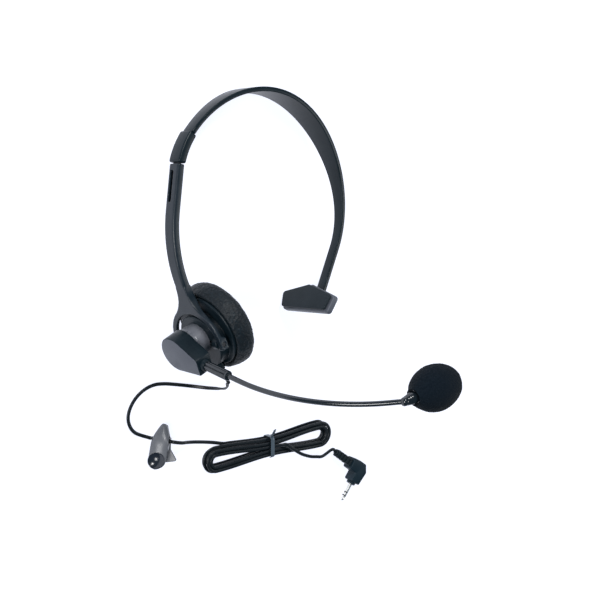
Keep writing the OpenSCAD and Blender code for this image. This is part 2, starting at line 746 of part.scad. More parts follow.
ring_z = hub_end_z + hub_land + 0.2;
ring_in_r = spindle_r - 0.5;
ring_out_r = hub_bore_r - 0.5;
module spindle_ring() {
    color(steel) in_boom() translate([0, 0, ring_z]) difference() {
        cylinder(r = ring_out_r, h = ring_t);
        translate([0, 0, -cut]) cylinder(r = ring_in_r + fix_gap, h = ring_t + 2 * cut);
    }
}

module boom_collar() {
    groove_r = 0.45;
    ring_len = 1.4;
    root_x = pod_end_x - collar_root + fix_gap;
    color(satin) in_boom() translate([0, boom_y, pod_split_z]) rotate([0, 90, 0]) difference() {
        translate([0, 0, root_x]) cylinder(r = collar_r, h = neck_x - root_x);
        for (i = [0:collar_splines - 1]) rotate([0, 0, i * 360 / collar_splines])
            translate([collar_r, 0, collar_x + 2.5])
                cylinder(r = groove_r, h = collar_len - 2.5 - ring_len);
        translate([0, 0, neck_x - neck_root]) cylinder(r = neck_r + fix_gap, h = neck_root + cut);
        translate([0, 0, root_x - cut]) cylinder(r = 1, h = neck_x);
    }
}

neck_bend_x = neck_x + neck_lead;
neck_end = [neck_bend_x + neck_bend_r * sin(neck_bend), pod_split_z + neck_bend_r * (1 - cos(neck_bend))];
// Frame at the end of the gooseneck's bend, with x along it
module at_neck_end()
    in_boom() translate([neck_end.x, boom_y, neck_end.y]) rotate([0, -neck_bend, 0]) children();
module at_mic()
    at_neck_end() translate([neck_tail, 0, 0]) rotate([0, -mic_nod, -mic_turn]) rotate([0, 90, 0]) children();

module gooseneck() {
    color(black) {
        in_boom() {
            translate([neck_x - neck_root + fix_gap, boom_y, pod_split_z]) rotate([0, 90, 0])
                cylinder(r = neck_r, h = neck_root - fix_gap + neck_lead);
            translate([neck_bend_x, boom_y, pod_split_z + neck_bend_r])
                rotate([90, 0, 0]) rotate([0, 0, -90])
                rotate_extrude(angle = neck_bend) translate([neck_bend_r, 0]) circle(neck_r);
        }
        at_neck_end() translate([-fuse, 0, 0]) rotate([0, 90, 0])
            cylinder(r = neck_r - crimp, h = neck_tail + fuse);
    }
}

ball_r = neck_r + 0.9;
capsule_len = 5;
module mic_barrel() {
    flare_len = 3;
    color(black) difference() {
        at_mic() {
            sphere(r = ball_r);
            cylinder(r1 = ball_r - 0.3, r2 = mic_r, h = flare_len);
            translate([0, 0, flare_len]) cylinder(r = mic_r, h = mic_len - capsule_len - flare_len);
        }
        at_neck_end() translate([-ball_r, 0, 0]) rotate([0, 90, 0])
            cylinder(r = neck_r + fix_gap, h = ball_r + neck_tail + fix_gap);
    }
}

module mic_capsule() {
    color(steel) at_mic() translate([0, 0, mic_len - capsule_len]) cylinder(r = mic_r, h = capsule_len);
}

// Egg-shaped foam, narrow at the neck, pulled over the barrel and capsule
module windscreen() {
    from = 5;
    wide = 0.5;
    mouth_r = mic_r + 1.2;
    bore_r = mic_r + run_gap;
    bore_len = mic_len - from + 0.2;
    rear = [for (i = [0:9]) let (t = mix(0.04, wide, i / 9))
        [max(mouth_r, screen_r * pow(1 - pow((wide - t) / wide, 1.9), 0.55)), screen_len * t]];
    front = [for (i = [1:9]) let (a = 90 * i / 9)
        [screen_r * cos(a), screen_len * (wide + (1 - wide) * sin(a))]];
    color(foam) at_mic() translate([0, 0, from]) rotate_extrude()
        polygon(concat([[bore_r, 0], [mouth_r, 0]], rear, front, [[0, bore_len], [bore_r, bore_len]]));
}

// Cord: routes on the floor, from the point where the cushion touches it
cord_r = cord_d / 2;
lie = cord_r + 0.05;
cord_sides = 8;
bush_out = [sin(bush_turn), cos(bush_turn), 0];
bush_end = [0, pivot_y, bush_z] + (bush_reach + bush_len) * bush_out;
bush_tip = laid(lean_point(cup_at, cup_turn, bush_end)) + middle;
bush_dir = laid_dir(lean_point([0, 0], cup_turn, bush_out));

// Clothing clip, in a frame whose y runs to the nose of the jaws
clip_half = 4.6;
clip_roll = 46;
clip_at = [-15.9, -66.6, clip_half * sin(clip_roll) + 0.05];
clip_turn = -6.5;
clip_cord_y = 3.2;
clip_cord_z = clip_plate + 1.3;
function clip_dir(p) =
    let (x = p.x * cos(clip_roll) - p.z * sin(clip_roll), z = p.x * sin(clip_roll) + p.z * cos(clip_roll))
    [x * cos(clip_turn) - p.y * sin(clip_turn), x * sin(clip_turn) + p.y * cos(clip_turn), z];
function clip_point(p) = clip_at + clip_dir(p);

// Hank
hank_at = [57.8, -76.3, 0];
hank_turn = 5;
hank_layers = 3;
hank_layer = hank_loops / hank_layers;
loop_steps = 24;
waist_step = hank_step + 0.05;
waist = (hank_step + (2 * hank_layer - 0.5) * waist_step) / 2 + 0.1;
hank_from = -2;
// Count of whole layers passed and the distance spiralled in, at a number of loops from the start
function hank_track(t) =
    let (k = max(0, min(hank_layers - 1, floor(t / hank_layer))), f = t - k * hank_layer)
    k % 2 == 0 ? f : hank_layer - f;
function hank_level(t) =
    let (k = max(1, min(hank_layers - 1, round(t / hank_layer))))
    k - 1 + ease(0.5 + 2 * (t - k * hank_layer));
// Point of the loop that is i steps from the middle of the top run
function hank_flat(i) =
    let (k = ((i % loop_steps) + loop_steps) % loop_steps, t = i / loop_steps, o = hank_track(t))
    let (r = hank_lobe - hank_step * o, w = waist - waist_step * o)
    k >= 3 && k <= 9 ? [hank_half, 0] + polar(r, 90 - 30 * (k - 3))
    : k >= 15 && k <= 21 ? [-hank_half, 0] + polar(r, -90 - 30 * (k - 15))
    : let (u = k < 3 ? k / 3 : k > 21 ? k / 3 - 8 : (12 - k) / 3, side = k > 9 && k < 15 ? -1 : 1)
    [hank_half * u, side * mix(w, r, ease(abs(u)))];
function hank_point(i) =
    let (p = hank_flat(i), a = hank_turn)
    let (tuck = tie_t * (1 - ease(abs(p.x) / hank_half)))
    let (z = lie + tuck + hank_step * hank_level(i / loop_steps))
    hank_at + [p.x * cos(a) - p.y * sin(a), p.x * sin(a) + p.y * cos(a), z];
hank_rings = [for (i = [hank_from:hank_loops * loop_steps]) hank_point(i)];
// The last end lifts clear of the loop beside it
hank_lift = [0, 0.1, 0.35];
function straight_ends(p) =
    let (m = len(p) - 1, out = unit(p[m] - p[m - 1]), end = p[m] + cord_d * out)
    concat([p[0] - cord_d * unit(p[1] - p[0])], p, [end, end + cord_d * unit(out + hank_lift)]);
hank_path = straight_ends(hank_rings);
hank_in = hank_path[0];
hank_out = hank_path[len(hank_path) - 1];
// Least gap between two stretches of the hank that are half a loop or more apart, measured on points
gap_points =
    [for (i = [0:len(hank_rings) - 2], t = [0, 1 / 3, 2 / 3]) mix(hank_rings[i], hank_rings[i + 1], t)];
gap_apart = 3 * loop_steps / 2;
hank_gap = min([for (i = [0:len(gap_points) - gap_apart - 1])
    min([for (j = [i + gap_apart:len(gap_points) - 1]) norm(gap_points[i] - gap_points[j])])]) - cord_d;
echo(hank_gap = hank_gap);

// Plug, in a frame with x along the boot and y along the pin
plug_at = [130.2, -98.8, plug_t / 2];
plug_turn = 147;
plug_neck = 9.5;
plug_foot = 9;
plug_half = 3.6;
boot_tip = plug_at + (plug_neck + boot_len) * [cos(plug_turn), sin(plug_turn), 0];
boot_dir = [cos(plug_turn), sin(plug_turn), 0];

// Path of a free stretch, which leaves and arrives straight along the given directions
function free_path(from, from_dir, route, to, to_dir) =
    let (inner = concat([from + 2 * cord_d * from_dir], route, [to - 2 * cord_d * to_dir]))
    concat([from, from + cord_d * from_dir], curve(inner, 2), [to - cord_d * to_dir, to]);
hank_in_dir = unit(hank_path[1] - hank_in);
hank_out_dir = unit(hank_out - hank_path[len(hank_path) - 2]);
lead_route = concat(
    [[5.5, -28.8, 29.2], [8.3, -31.3, 26.0], [10.2, -33.5, 22.0], [10.5, -34.8, 17.5], [9.7, -35.6, 12.8],
        [7.7, -36.1, 8.6], [4.8, -36.1, 5.2], [1.0, -35.8, 2.6], [-3.7, -35.2, 1.2], [-8.9, -34.4, lie],
        [-15, -33.6, lie], [-21, -33.6, lie], [-26.4, -35.2, lie], [-31.4, -38.6, lie], [-35, -43.4, lie],
        [-36.7, -49, lie], [-35.6, -54.4, lie], [-31.9, -58.8, lie + 0.4]],
    [for (x = [-clip_half - 2.5, -clip_half - 0.5, 0, clip_half + 0.5, clip_half + 2.5])
        clip_point([x, clip_cord_y, clip_cord_z])],
    [[-6.5, -65.4, 8.2], [-1, -66.6, 5], [5, -67.8, 2.2], [12, -68.9, lie], [20, -70.1, lie]]);
tail_route = [[66.5, -74.6, 9.2], [70.5, -77.2, 9.6], [74.6, -79.6, 9.3], [79, -81.9, 8.6],
    [83.8, -83.8, 7.2], [89, -85.5, 5.7], [94.5, -86.6, 4.4], [100, -87.1, 3.6]];

module cord_lead() {
    color(rubber) on_floor() skin(tube_rings(
        free_path(bush_tip, bush_dir, lead_route, hank_in, hank_in_dir), cord_r, cord_sides, [1, 0, 0]));
}
module cord_hank() {
    color(rubber) on_floor() skin(tube_rings(hank_path, cord_r, 6));
}
module cord_tail() {
    color(rubber) on_floor() skin(tube_rings(
        free_path(hank_out, hank_out_dir, tail_route, boot_tip, -boot_dir), cord_r, cord_sides));
}

// Flat tie with a closed loop round the waist and two twisted ends
module hank_tie() {
    room = cord_r + 0.3;
    high = lie + tie_t + hank_step * (hank_layers - 1) + room;
    left = -(waist - waist_step / 2) - room;
    right = waist + room;
    inner = rounded([[left, tie_t], [right, tie_t], [right, high], [left, high]], 1.2);
    outer = rounded([[left - tie_t, 0], [right + tie_t, 0], [right + tie_t, high + tie_t],
        [left - tie_t, high + tie_t]], 1.2 + tie_t);
    tail_len = 5;
    color(steel) on_floor() translate(hank_at) rotate([0, 0, hank_turn]) {
        rotate([90, 0, 90]) translate([0, 0, -tie_w / 2]) linear_extrude(tie_w) difference() {
            polygon(outer);
            polygon(inner);
        }
        for (side = [-1, 1]) translate([side * 0.5, right + tie_t / 2, high - 1])
            rotate([-60, side * 25, 0]) cylinder(r = tie_t / 2, h = tail_len);
    }
}

module in_clip() on_floor() translate(clip_at) rotate([0, -clip_roll, clip_turn]) children();
ear_in = 3;
hinge_r = 2;
module clip_base() {
    tail = 8.6;
    tip = 1.6;
    flap = [9.6, -7];
    plate = rounded([[-tip, clip_nose - 0.9], [-clip_half, 3], [-clip_half, -tail + 2], [-2.5, -tail],
        [4.4, -tail], flap, [clip_half + 0.6, -1.5], [clip_half, 3], [tip, clip_nose - 0.9]], 0.8);
    bore_r = cord_r + 0.15;
    block = 1.6;
    color(satin) in_clip() difference() {
        union() {
            linear_extrude(clip_plate) polygon(plate);
            for (side = [0, 1]) mirror([side, 0, 0]) {
                translate([ear_in, -hinge_r, 0]) cube([clip_half - ear_in, 2 * hinge_r, clip_hinge_h]);
                translate([ear_in, 0, clip_hinge_h]) rotate([0, 90, 0])
                    cylinder(r = hinge_r, h = clip_half - ear_in);
            }
            translate([-clip_half, clip_cord_y - block, 0])
                cube([2 * clip_half, 2 * block, clip_cord_z + 0.4]);
        }
        translate([0, clip_cord_y, clip_cord_z]) rotate([0, 90, 0])
            cylinder(r = bore_r, h = 4 * clip_half, center = true);
        translate([0, 0, clip_hinge_h]) rotate([0, 90, 0])
            cylinder(r = clip_pin_r + fix_gap, h = 4 * clip_half, center = true);
    }
}

module clip_pin() {
    color(steel) in_clip() translate([0, 0, clip_hinge_h]) rotate([0, 90, 0])
        cylinder(r = clip_pin_r, h = 2 * clip_half, center = true);
}

// Bullet-shaped lever: a bent side profile inside a bullet-shaped plan, with a dish for the thumb
module clip_lever() {
    w = clip_w / 2;
    rest_z = clip_plate + swing_gap;
    roof = clip_hinge_h + hinge_r + 1.9;
    under = clip_hinge_h + hinge_r + 0.4;
    tail_rise = 2.2;
    side = [[clip_nose, rest_z], [clip_nose, rest_z + 1.2], [clip_nose - 4, roof - 1], [0, roof],
        [-clip_tail + 2, roof + tail_rise], [-clip_tail, roof + tail_rise - 1.4],
        [-clip_tail, under + tail_rise - 1], [-3, under], [3, under],
        [clip_nose - 2.2, rest_z + 1], [clip_nose - 2.2, rest_z]];
    plan = concat([[0.9, clip_nose], [-0.9, clip_nose]],
        [for (i = [1:6]) let (t = i / 6) [-mix(0.9, w, sin(90 * t)), mix(clip_nose, -2, t)]],
        arc([0, -clip_tail + w], w, 180, 360, 16),
        [for (i = [0:5]) let (t = 1 - i / 6) [mix(0.9, w, sin(90 * t)), mix(clip_nose, -2, t)]]);
    dish_r = 9;
    color(satin) in_clip() difference() {
        union() {
            intersection() {
                rotate([90, 0, 90]) translate([0, 0, -w - cut]) linear_extrude(2 * (w + cut)) polygon(side);
                linear_extrude(2 * roof) polygon(plan);
            }
            translate([0, 0, clip_hinge_h]) rotate([0, 90, 0])
                cylinder(r = hinge_r, h = 2 * (ear_in - swing_gap), center = true);
            translate([-ear_in + swing_gap, -1.4, clip_hinge_h])
                cube([2 * (ear_in - swing_gap), 2.8, hinge_r + 0.8]);
        }
        translate([0, 0, clip_hinge_h]) rotate([0, 90, 0])
            cylinder(r = clip_pin_r + run_gap, h = 4 * clip_half, center = true);
        translate([0, -clip_tail + w - 0.4, roof + tail_rise + dish_r - 1.3]) sphere(r = dish_r);
    }
}

// Bowed leaf that bears on the lever's knuckle from below
module clip_leaf() {
    leaf_w = 3.6;
    leaf_t = 0.4;
    foot = clip_plate;
    crown = clip_hinge_h - hinge_r - 0.1;
    color(steel) in_clip() rotate([90, 0, 90]) translate([0, 0, -leaf_w / 2]) linear_extrude(leaf_w)
        polygon([[-6, foot], [-3.2, foot], [-0.6, crown - leaf_t], [0.6, crown - leaf_t], [1.3, crown - 0.7],
            [1.3, crown - 0.3], [0.7, crown], [-0.7, crown], [-3.4, foot + leaf_t], [-6, foot + leaf_t]]);
}

module in_plug() on_floor() translate(plug_at) rotate([0, 0, plug_turn]) children();
module along_pin() in_plug() rotate([-90, 0, 0]) children();

module plug_body() {
    side = plug_half;
    outline = rounded([[plug_neck, -side], [plug_neck, side], [side, side], [side, plug_foot],
        [-side, plug_foot], [-side - 1, 0], [-side + 2.5, -side - 0.6], [4, -side - 0.6]], 0.8);
    color(rubber) {
        in_plug() translate([0, 0, -plug_t / 2]) linear_extrude(plug_t) polygon(outline);
        along_pin() translate([0, 0, plug_foot]) cylinder(r = jack_r + 1.5, h = 1.5);
    }
}

module plug_boot() {
    core_r = cord_r + 0.6;
    rib_r = 2.3;
    pitch = boot_len / boot_ribs;
    color(rubber) in_plug() rotate([0, 90, 0]) translate([0, 0, plug_neck]) {
        cylinder(r = core_r, h = boot_len);
        for (i = [0:boot_ribs - 1]) translate([0, 0, i * pitch])
            cylinder(r = rib_r - 0.12 * i, h = 0.62 * pitch);
    }
}

// Three contacts in a row along the pin, with an insulator between each two
jack_from = plug_foot + 1.5;
gap_len = 0.6;
ring_len = 1.6;
tip_len = 3;
sleeve_len = jack_len - tip_len - ring_len - 2 * gap_len;
module plug_sleeve() {
    color(steel) along_pin() translate([0, 0, jack_from]) cylinder(r = jack_r, h = sleeve_len);
}
module plug_ring() {
    color(steel) along_pin() translate([0, 0, jack_from + sleeve_len + gap_len])
        cylinder(r = jack_r, h = ring_len);
}
module plug_tip() {
    tip_z = jack_from + sleeve_len + ring_len + 2 * gap_len;
    neck = 0.72 * jack_r;
    color(steel) along_pin() translate([0, 0, tip_z]) rotate_extrude()
        polygon([[0, 0], [jack_r, 0], [jack_r, 0.5], [neck, 1], [jack_r * 0.96, 1.9],
            [0.35 * jack_r, tip_len], [0, tip_len]]);
}
module plug_insulators() {
    color(black) along_pin() for (z = [jack_from + sleeve_len, jack_from + sleeve_len + gap_len + ring_len])
        translate([0, 0, z]) cylinder(r = jack_r, h = gap_len);
}

headband();
size_tongue();
sleeve_rivet();
yoke_arm();
temple_shell();
temple_pad();
temple_pin();
cup_shell();
baffle_plate();
baffle_screws();
driver_frame();
driver_cone();
driver_magnet();
ear_cushion();
pivot_pins();
hub_barrel();
cord_bush();
pod_base();
pod_cover();
pod_screws();
spindle_ring();
boom_collar();
gooseneck();
mic_barrel();
mic_capsule();
windscreen();
cord_lead();
cord_hank();
cord_tail();
hank_tie();
clip_base();
clip_lever();
clip_pin();
clip_leaf();
plug_body();
plug_boot();
plug_sleeve();
plug_ring();
plug_tip();
plug_insulators();
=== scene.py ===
"""Single-ear telephone headset: finishes, foam, cord and soft-edged mouldings around the fixed frame.

Sizes are written in millimetres and turned into metres by MM. A sub-assembly models each piece in a local
frame of its own, and the finished mesh is then laid into the frame of the whole object.
"""

from __future__ import annotations

import json
import logging
import math
from collections.abc import Callable, Iterable, Sequence
from dataclasses import dataclass, field
from enum import Enum
from typing import ClassVar

import bmesh
import bpy
from mathutils import Matrix, Vector

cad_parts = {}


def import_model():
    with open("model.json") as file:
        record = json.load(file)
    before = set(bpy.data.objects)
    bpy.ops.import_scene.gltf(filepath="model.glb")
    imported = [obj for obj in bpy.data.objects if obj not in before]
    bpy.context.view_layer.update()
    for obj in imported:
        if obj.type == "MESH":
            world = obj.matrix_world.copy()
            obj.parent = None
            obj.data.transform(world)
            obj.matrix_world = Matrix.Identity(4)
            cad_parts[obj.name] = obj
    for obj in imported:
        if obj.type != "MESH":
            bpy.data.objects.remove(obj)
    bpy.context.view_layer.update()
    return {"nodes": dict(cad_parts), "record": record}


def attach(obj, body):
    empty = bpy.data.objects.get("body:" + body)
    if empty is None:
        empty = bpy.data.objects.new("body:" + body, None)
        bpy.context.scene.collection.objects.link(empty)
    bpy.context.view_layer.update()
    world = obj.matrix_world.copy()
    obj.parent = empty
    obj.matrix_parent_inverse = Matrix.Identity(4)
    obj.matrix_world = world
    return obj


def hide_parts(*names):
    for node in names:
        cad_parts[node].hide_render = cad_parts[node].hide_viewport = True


LOG = logging.getLogger("headset")
MM = 0.001
NOISE_SPAN = (0.3, 0.7)

Flat = tuple[float, float]
Spot = tuple[float, float, float]
Colour = tuple[float, float, float]
Piece = bpy.types.Object
Node = bpy.types.Node
Socket = bpy.types.NodeSocket


class Body(str, Enum):
    """Moving bodies of the headset."""

    EAR_CUP = "ear_cup"
    YOKE = "yoke"
    HEADBAND = "headband"
    TEMPLE = "temple"
    BOOM = "boom"
    CLIP = "clip_lever"


class Slot(str, Enum):
    """Finishes that the record lists."""

    BLACK = "black"
    SATIN = "satin"
    FOAM = "foam"
    STEEL = "steel"
    RUBBER = "rubber"
    NICKEL = "nickel"


def mix(a: float, b: float, t: float) -> float:
    """Value that is the share t of the way from a to b."""
    return a + (b - a) * t


def ease(t: float) -> float:
    """Share from 0 to 1 that starts and ends gently."""
    return 0.5 - 0.5 * math.cos(math.pi * max(0.0, min(1.0, t)))


def polar(radius: float, degrees: float, centre: Flat = (0.0, 0.0)) -> Flat:
    """Point at a radius and an angle from a centre."""
    a = math.radians(degrees)
    return centre[0] + radius * math.cos(a), centre[1] + radius * math.sin(a)


def arc(centre: Flat, radius: float, start: float, end: float, steps: int) -> list[Flat]:
    """Points of an arc, its two ends among them."""
    return [polar(radius, mix(start, end, i / steps), centre) for i in range(steps + 1)]


def rounded(corners: Sequence[Flat], radius: float, steps: int = 5) -> list[Flat]:
    """Round every corner of a counter-clockwise outline.

    Args:
        corners: The outline's corners.
        radius: Radius of the rounding.
        steps: Steps of each arc.

    Returns:
        The points of the rounded outline.
    """
    points: list[Flat] = []
    for i, corner in enumerate(corners):
        q = Vector(corner)
        before = (q - Vector(corners[i - 1])).normalized()
        after = (Vector(corners[(i + 1) % len(corners)]) - q).normalized()
        turn = math.atan2(before.x * after.y - before.y * after.x, before.dot(after))
        side = -1.0 if turn < 0 else 1.0
        out = Vector((before.y + after.y, -before.x - after.x)).normalized()
        centre = q - out * (side * radius / math.cos(turn / 2))
        first = math.degrees(math.atan2(-before.x, before.y))
        for k in range(steps + 1):
            points.append(polar(side * radius, first + math.degrees(turn) * k / steps, tuple(centre)))
    return points


def headings(path: Sequence[Vector]) -> list[Vector]:
    """Direction of a path at each of its points."""
    last = len(path) - 1
    return [(path[min(i + 1, last)] - path[max(i - 1, 0)]).normalized() for i in range(last + 1)]


@dataclass(frozen=True)
class Place:
    """Frame of a sub-assembly: where its origin lies and which way its axes point."""

    origin: Vector
    x: Vector
    y: Vector
    z: Vector

    def matrix(self) -> Matrix:
        """Matrix that lays a local point into the object's frame."""
        return Matrix.Translation(self.origin) @ Matrix((self.x, self.y, self.z)).transposed().to_4x4()

    def at(self, x: float, y: float, z: float) -> Vector:
        """Point of the object's frame for a local point in millimetres."""
        return self.origin + MM * (x * self.x + y * self.y + z * self.z)

    def moved(self, x: float, y: float, z: float) -> Place:
        """Same axes at another local point, in millimetres."""
        return Place(self.at(x, y, z), self.x, self.y, self.z)

    def turned(self, degrees: float) -> Place:
        """Frame turned about its own z, from x towards y."""
        c, s = polar(1, degrees)
        return Place(self.origin, c * self.x + s * self.y, c * self.y - s * self.x, self.z)

    def tipped(self, degrees: float) -> Place:
        """Frame turned about its own y, from x towards z."""
        c, s = polar(1, degrees)
        return Place(self.origin, c * self.x + s * self.z, self.y, c * self.z - s * self.x)

    def along_x(self) -> Place:
        """Frame whose z runs along this frame's x."""
        return Place(self.origin, -self.z, self.y, self.x)

    def along_y(self) -> Place:
        """Frame whose z runs along this frame's y."""
        return Place(self.origin, self.x, -self.z, self.y)

    def leaning(self, at: Flat, degrees: float) -> Place:
        """Frame at a point right and up in the middle plane: x forward, y at a lean from the right."""
        c, s = polar(1, degrees)
        return Place(self.at(at[0], 0, at[1]), -self.y, c * self.x - s * self.z, s * self.x + c * self.z)


LOCAL = Place(Vector(), Vector((1, 0, 0)), Vector((0, 1, 0)), Vector((0, 0, 1)))


@dataclass(frozen=True)
class Layout:
    """Frames of the sub-assemblies, read from the joints and the plug's mount."""

    headset: Place
    cup: Place
    boom: Place
    temple: Place
    clip: Place
    plug: Place

    ear_out: ClassVar[float] = 28.8
    ear_drop: ClassVar[float] = 61.6
    cup_lean: ClassVar[float] = 27.0
    pod_back: ClassVar[float] = 22.9
    boom_drop: ClassVar[float] = 17.0
    stem_angle: ClassVar[float] = -23.3
    plug_foot: ClassVar[float] = 13.3
    clip_hinge: ClassVar[float] = 5.2

    @classmethod
    def read(cls, record: dict) -> Layout:
        """Work the frames out from the record.

        Args:
            record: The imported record.

        Returns:
            The layout.
        """
        turning = {j["name"]: j for j in record["behaviour"]["joints"] if "pos_m" in j}
        spots = {name: Vector(j["pos_m"]) for name, j in turning.items()}
        axes = {name: Vector(j["axis"]).normalized() for name, j in turning.items()}
        back, inward, across = axes["cup_tilt"], -axes["boom_swivel"], axes["clip_jaw"]
        down = inward.cross(-back).normalized()
        c, s = polar(1, cls.cup_lean)
        right, up = c * inward + s * down, s * inward - c * down
        cup_at = spots["boom_swivel"] + cls.pod_back * MM * inward
        headset = Place(cup_at + MM * (cls.ear_out * right + cls.ear_drop * up), right, back, up)
        cup = headset.leaning((-cls.ear_out, -cls.ear_drop), 90 - cls.cup_lean)
        lean = headset.leaning((0, 0), 90 - cls.stem_angle)
        temple = Place(spots["temple_tilt"], lean.x, lean.y, lean.z)
        nose = LOCAL.z.cross(across).normalized()
        lever_up = across.cross(nose)
        clip = Place(spots["clip_jaw"] - cls.clip_hinge * MM * lever_up, across, nose, lever_up)
        pin = next(m for m in record["mounts"] if m["name"] == "plug_pin")
        pin_dir = Vector(pin["axis"]).normalized()
        plug_at = Vector(pin["pos_m"]) - cls.plug_foot * MM * pin_dir
        plug = Place(plug_at, pin_dir.cross(LOCAL.z), pin_dir, LOCAL.z)
        return cls(headset, cup, cup.turned(cls.boom_drop), temple, clip, plug)


class Bench:
    """Modelling steps, each done with operators on one object at a time."""

    @staticmethod
    def pick(obj: Piece | None = None) -> None:
        """Select one object alone, or nothing.

        Args:
            obj: Object to select and make active.
        """
        if bpy.context.mode != "OBJECT":
            bpy.ops.object.mode_set(mode="OBJECT")
        bpy.ops.object.select_all(action="DESELECT")
        if obj is not None:
            obj.select_set(True)
            bpy.context.view_layer.objects.active = obj

    @staticmethod
    def edit(obj: Piece) -> None:
        """Open one object in edit mode with its whole mesh selected.

        Args:
            obj: Object to open.
        """
        Bench.pick(obj)
        bpy.ops.object.mode_set(mode="EDIT")
        bpy.ops.mesh.select_all(action="SELECT")

    @staticmethod
    def done(obj: Piece) -> Piece:
        """Merge doubles, turn the faces outwards and leave edit mode.

        Args:
            obj: Object to finish.

        Returns:
            The same object.
        """
        Bench.edit(obj)
        bpy.ops.mesh.remove_doubles(threshold=0.002 * MM)
        bpy.ops.mesh.normals_make_consistent(inside=False)
        bpy.ops.object.mode_set(mode="OBJECT")
        return obj

    @staticmethod
    def named(name: str) -> Piece:
        """Name the object that an operator has just added.

        Args:
            name: Name of the object and its mesh.

        Returns:
            The object.
        """
        obj = bpy.context.object
        obj.name = obj.data.name = name
        return obj

    @staticmethod
    def extrude(step: Sequence[float]) -> None:
        """Extrude what is selected by a step in metres."""
        bpy.ops.mesh.extrude_region_move(TRANSFORM_OT_translate={"value": step})

    @staticmethod
    def chain(name: str, points: Sequence[Sequence[float]]) -> Piece:
        """Draw an open run of edges by extruding a vertex, and stay in edit mode.

        Args:
            name: Name of the new object.
            points: Points of the run, in millimetres.

        Returns:
            The object, with the whole run selected.
        """
        Bench.pick()
        bpy.ops.mesh.primitive_plane_add(size=MM)
        obj = Bench.named(name)
        Bench.edit(obj)
        bpy.ops.mesh.merge(type="CENTER")
        bpy.ops.transform.translate(value=MM * Vector(points[0]))
        for a, b in zip(points, points[1:]):
            Bench.extrude(MM * (Vector(b) - Vector(a)))
        bpy.ops.mesh.select_all(action="SELECT")
        return obj

    @staticmethod
    def plate(name: str, outline: Sequence[Flat], low: float, high: float) -> Piece:
        """Fill an outline and extrude it along z.

        Args:
            name: Name of the new object.
            outline: Corners in x and y, in millimetres.
            low: Lower face.
            high: Upper face.

        Returns:
            The closed plate.
        """
        obj = Bench.chain(name, [(x, y, low) for x, y in outline])
        bpy.ops.mesh.edge_face_add()
        Bench.extrude((0, 0, MM * (high - low)))
        return Bench.done(obj)

    @staticmethod
    def turned(name: str, profile: Sequence[Flat], steps: int = 64) -> Piece:
        """Spin a profile about z.

        Args:
            name: Name of the new object.
            profile: Radius and height of each point, in millimetres.
            steps: Steps round the axis.

        Returns:
            The turned piece.
        """
        obj = Bench.chain(name, [(r, 0, z) for r, z in profile])
        bpy.ops.mesh.spin(steps=steps, angle=2 * math.pi, center=(0, 0, 0), axis=(0, 0, 1))
        return Bench.done(obj)

    @staticmethod
    def rod(name: str, radius: float, length: float, place: Place, rim: float = 0) -> Piece:
        """Turn a short cylinder about the middle of a frame, along its z.

        Args:
            name: Name of the new object.
            radius: Radius of the cylinder.
            length: Its whole length.
            place: Frame that it is laid into.
            rim: Width by which its two rims are eased off. A rod without it is a cutter.

        Returns:
            The cylinder, in place.
        """
        h = length / 2
        lower, upper = [(radius - rim, -h), (radius, rim - h)], [(radius, h - rim), (radius - rim, h)]
        profile = dict.fromkeys([(0, -h), *lower, *upper, (0, h)])
        return Bench.lay(Bench.turned(name, list(profile), 40 if rim else 32), place)

    @staticmethod
    def bar(name: str, size: Spot, at: Spot) -> Piece:
        """Add a block for cutting or joining.

        Args:
            name: Name of the new object.
            size: Its three sides, in millimetres.
            at: Its middle, in millimetres.

        Returns:
            The block.
        """
        Bench.pick()
        bpy.ops.mesh.primitive_cube_add(size=1, location=MM * Vector(at), scale=MM * Vector(size))
        bpy.ops.object.transform_apply(location=True, rotation=True, scale=True)
        return Bench.named(name)

    @staticmethod
    def modify(obj: Piece, kind: str, **settings: object) -> Piece:
        """Add a modifier with its settings and apply it.

        Args:
            obj: Object to change.
            kind: Type of the modifier.
            settings: Attributes of the modifier.

        Returns:
            The same object.
        """
        Bench.pick(obj)
        modifier = obj.modifiers.new(kind.lower(), kind)
        for key, value in settings.items():
            setattr(modifier, key, value)
        bpy.ops.object.modifier_apply(modifier=modifier.name)
        return obj

    @staticmethod
    def round_edges(obj: Piece, width: float, segments: int = 3, angle: float = 50) -> Piece:
        """Round the edges that are sharper than an angle."""
        sharp = {"limit_method": "ANGLE", "angle_limit": math.radians(angle)}
        return Bench.modify(obj, "BEVEL", width=width * MM, segments=segments, **sharp)

    @staticmethod
    def combine(obj: Piece, others: Iterable[Piece], operation: str) -> Piece:
        """Add other objects to one, or cut them from it, and remove them.

        Args:
            obj: Object to change.
            others: Objects to add or cut.
            operation: UNION or DIFFERENCE.

        Returns:
            The changed object.
        """
        for other in others:
            Bench.modify(obj, "BOOLEAN", operation=operation, object=other, solver="EXACT")
            bpy.data.objects.remove(other)
        return obj

    @staticmethod
    def swell(obj: Piece, levels: int) -> Piece:
        """Smooth a mesh by subdivision."""
        return Bench.modify(obj, "SUBSURF", levels=levels, render_levels=levels)

    @staticmethod
    def soften(node: str, name: str, voxel: float, passes: int) -> Piece:
        """Copy a moulding of the frame with all its edges rounded off.

        Args:
            node: Moulding to copy.
            name: Name of the copy.
            voxel: Fineness of the new mesh, in millimetres.
            passes: Passes of smoothing, which round the edges.

        Returns:
            The softened copy, in place.
        """
        obj = bpy.data.objects[node].copy()
        obj.data = obj.data.copy()
        obj.name = obj.data.name = name
        for key in [k for k in obj.keys() if k.startswith("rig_")]:
            del obj[key]
        obj.parent = None
        bpy.context.scene.collection.objects.link(obj)
        Bench.done(obj)
        Bench.modify(obj, "REMESH", mode="VOXEL", voxel_size=voxel * MM)
        return Bench.modify(obj, "SMOOTH", factor=0.5, iterations=passes)

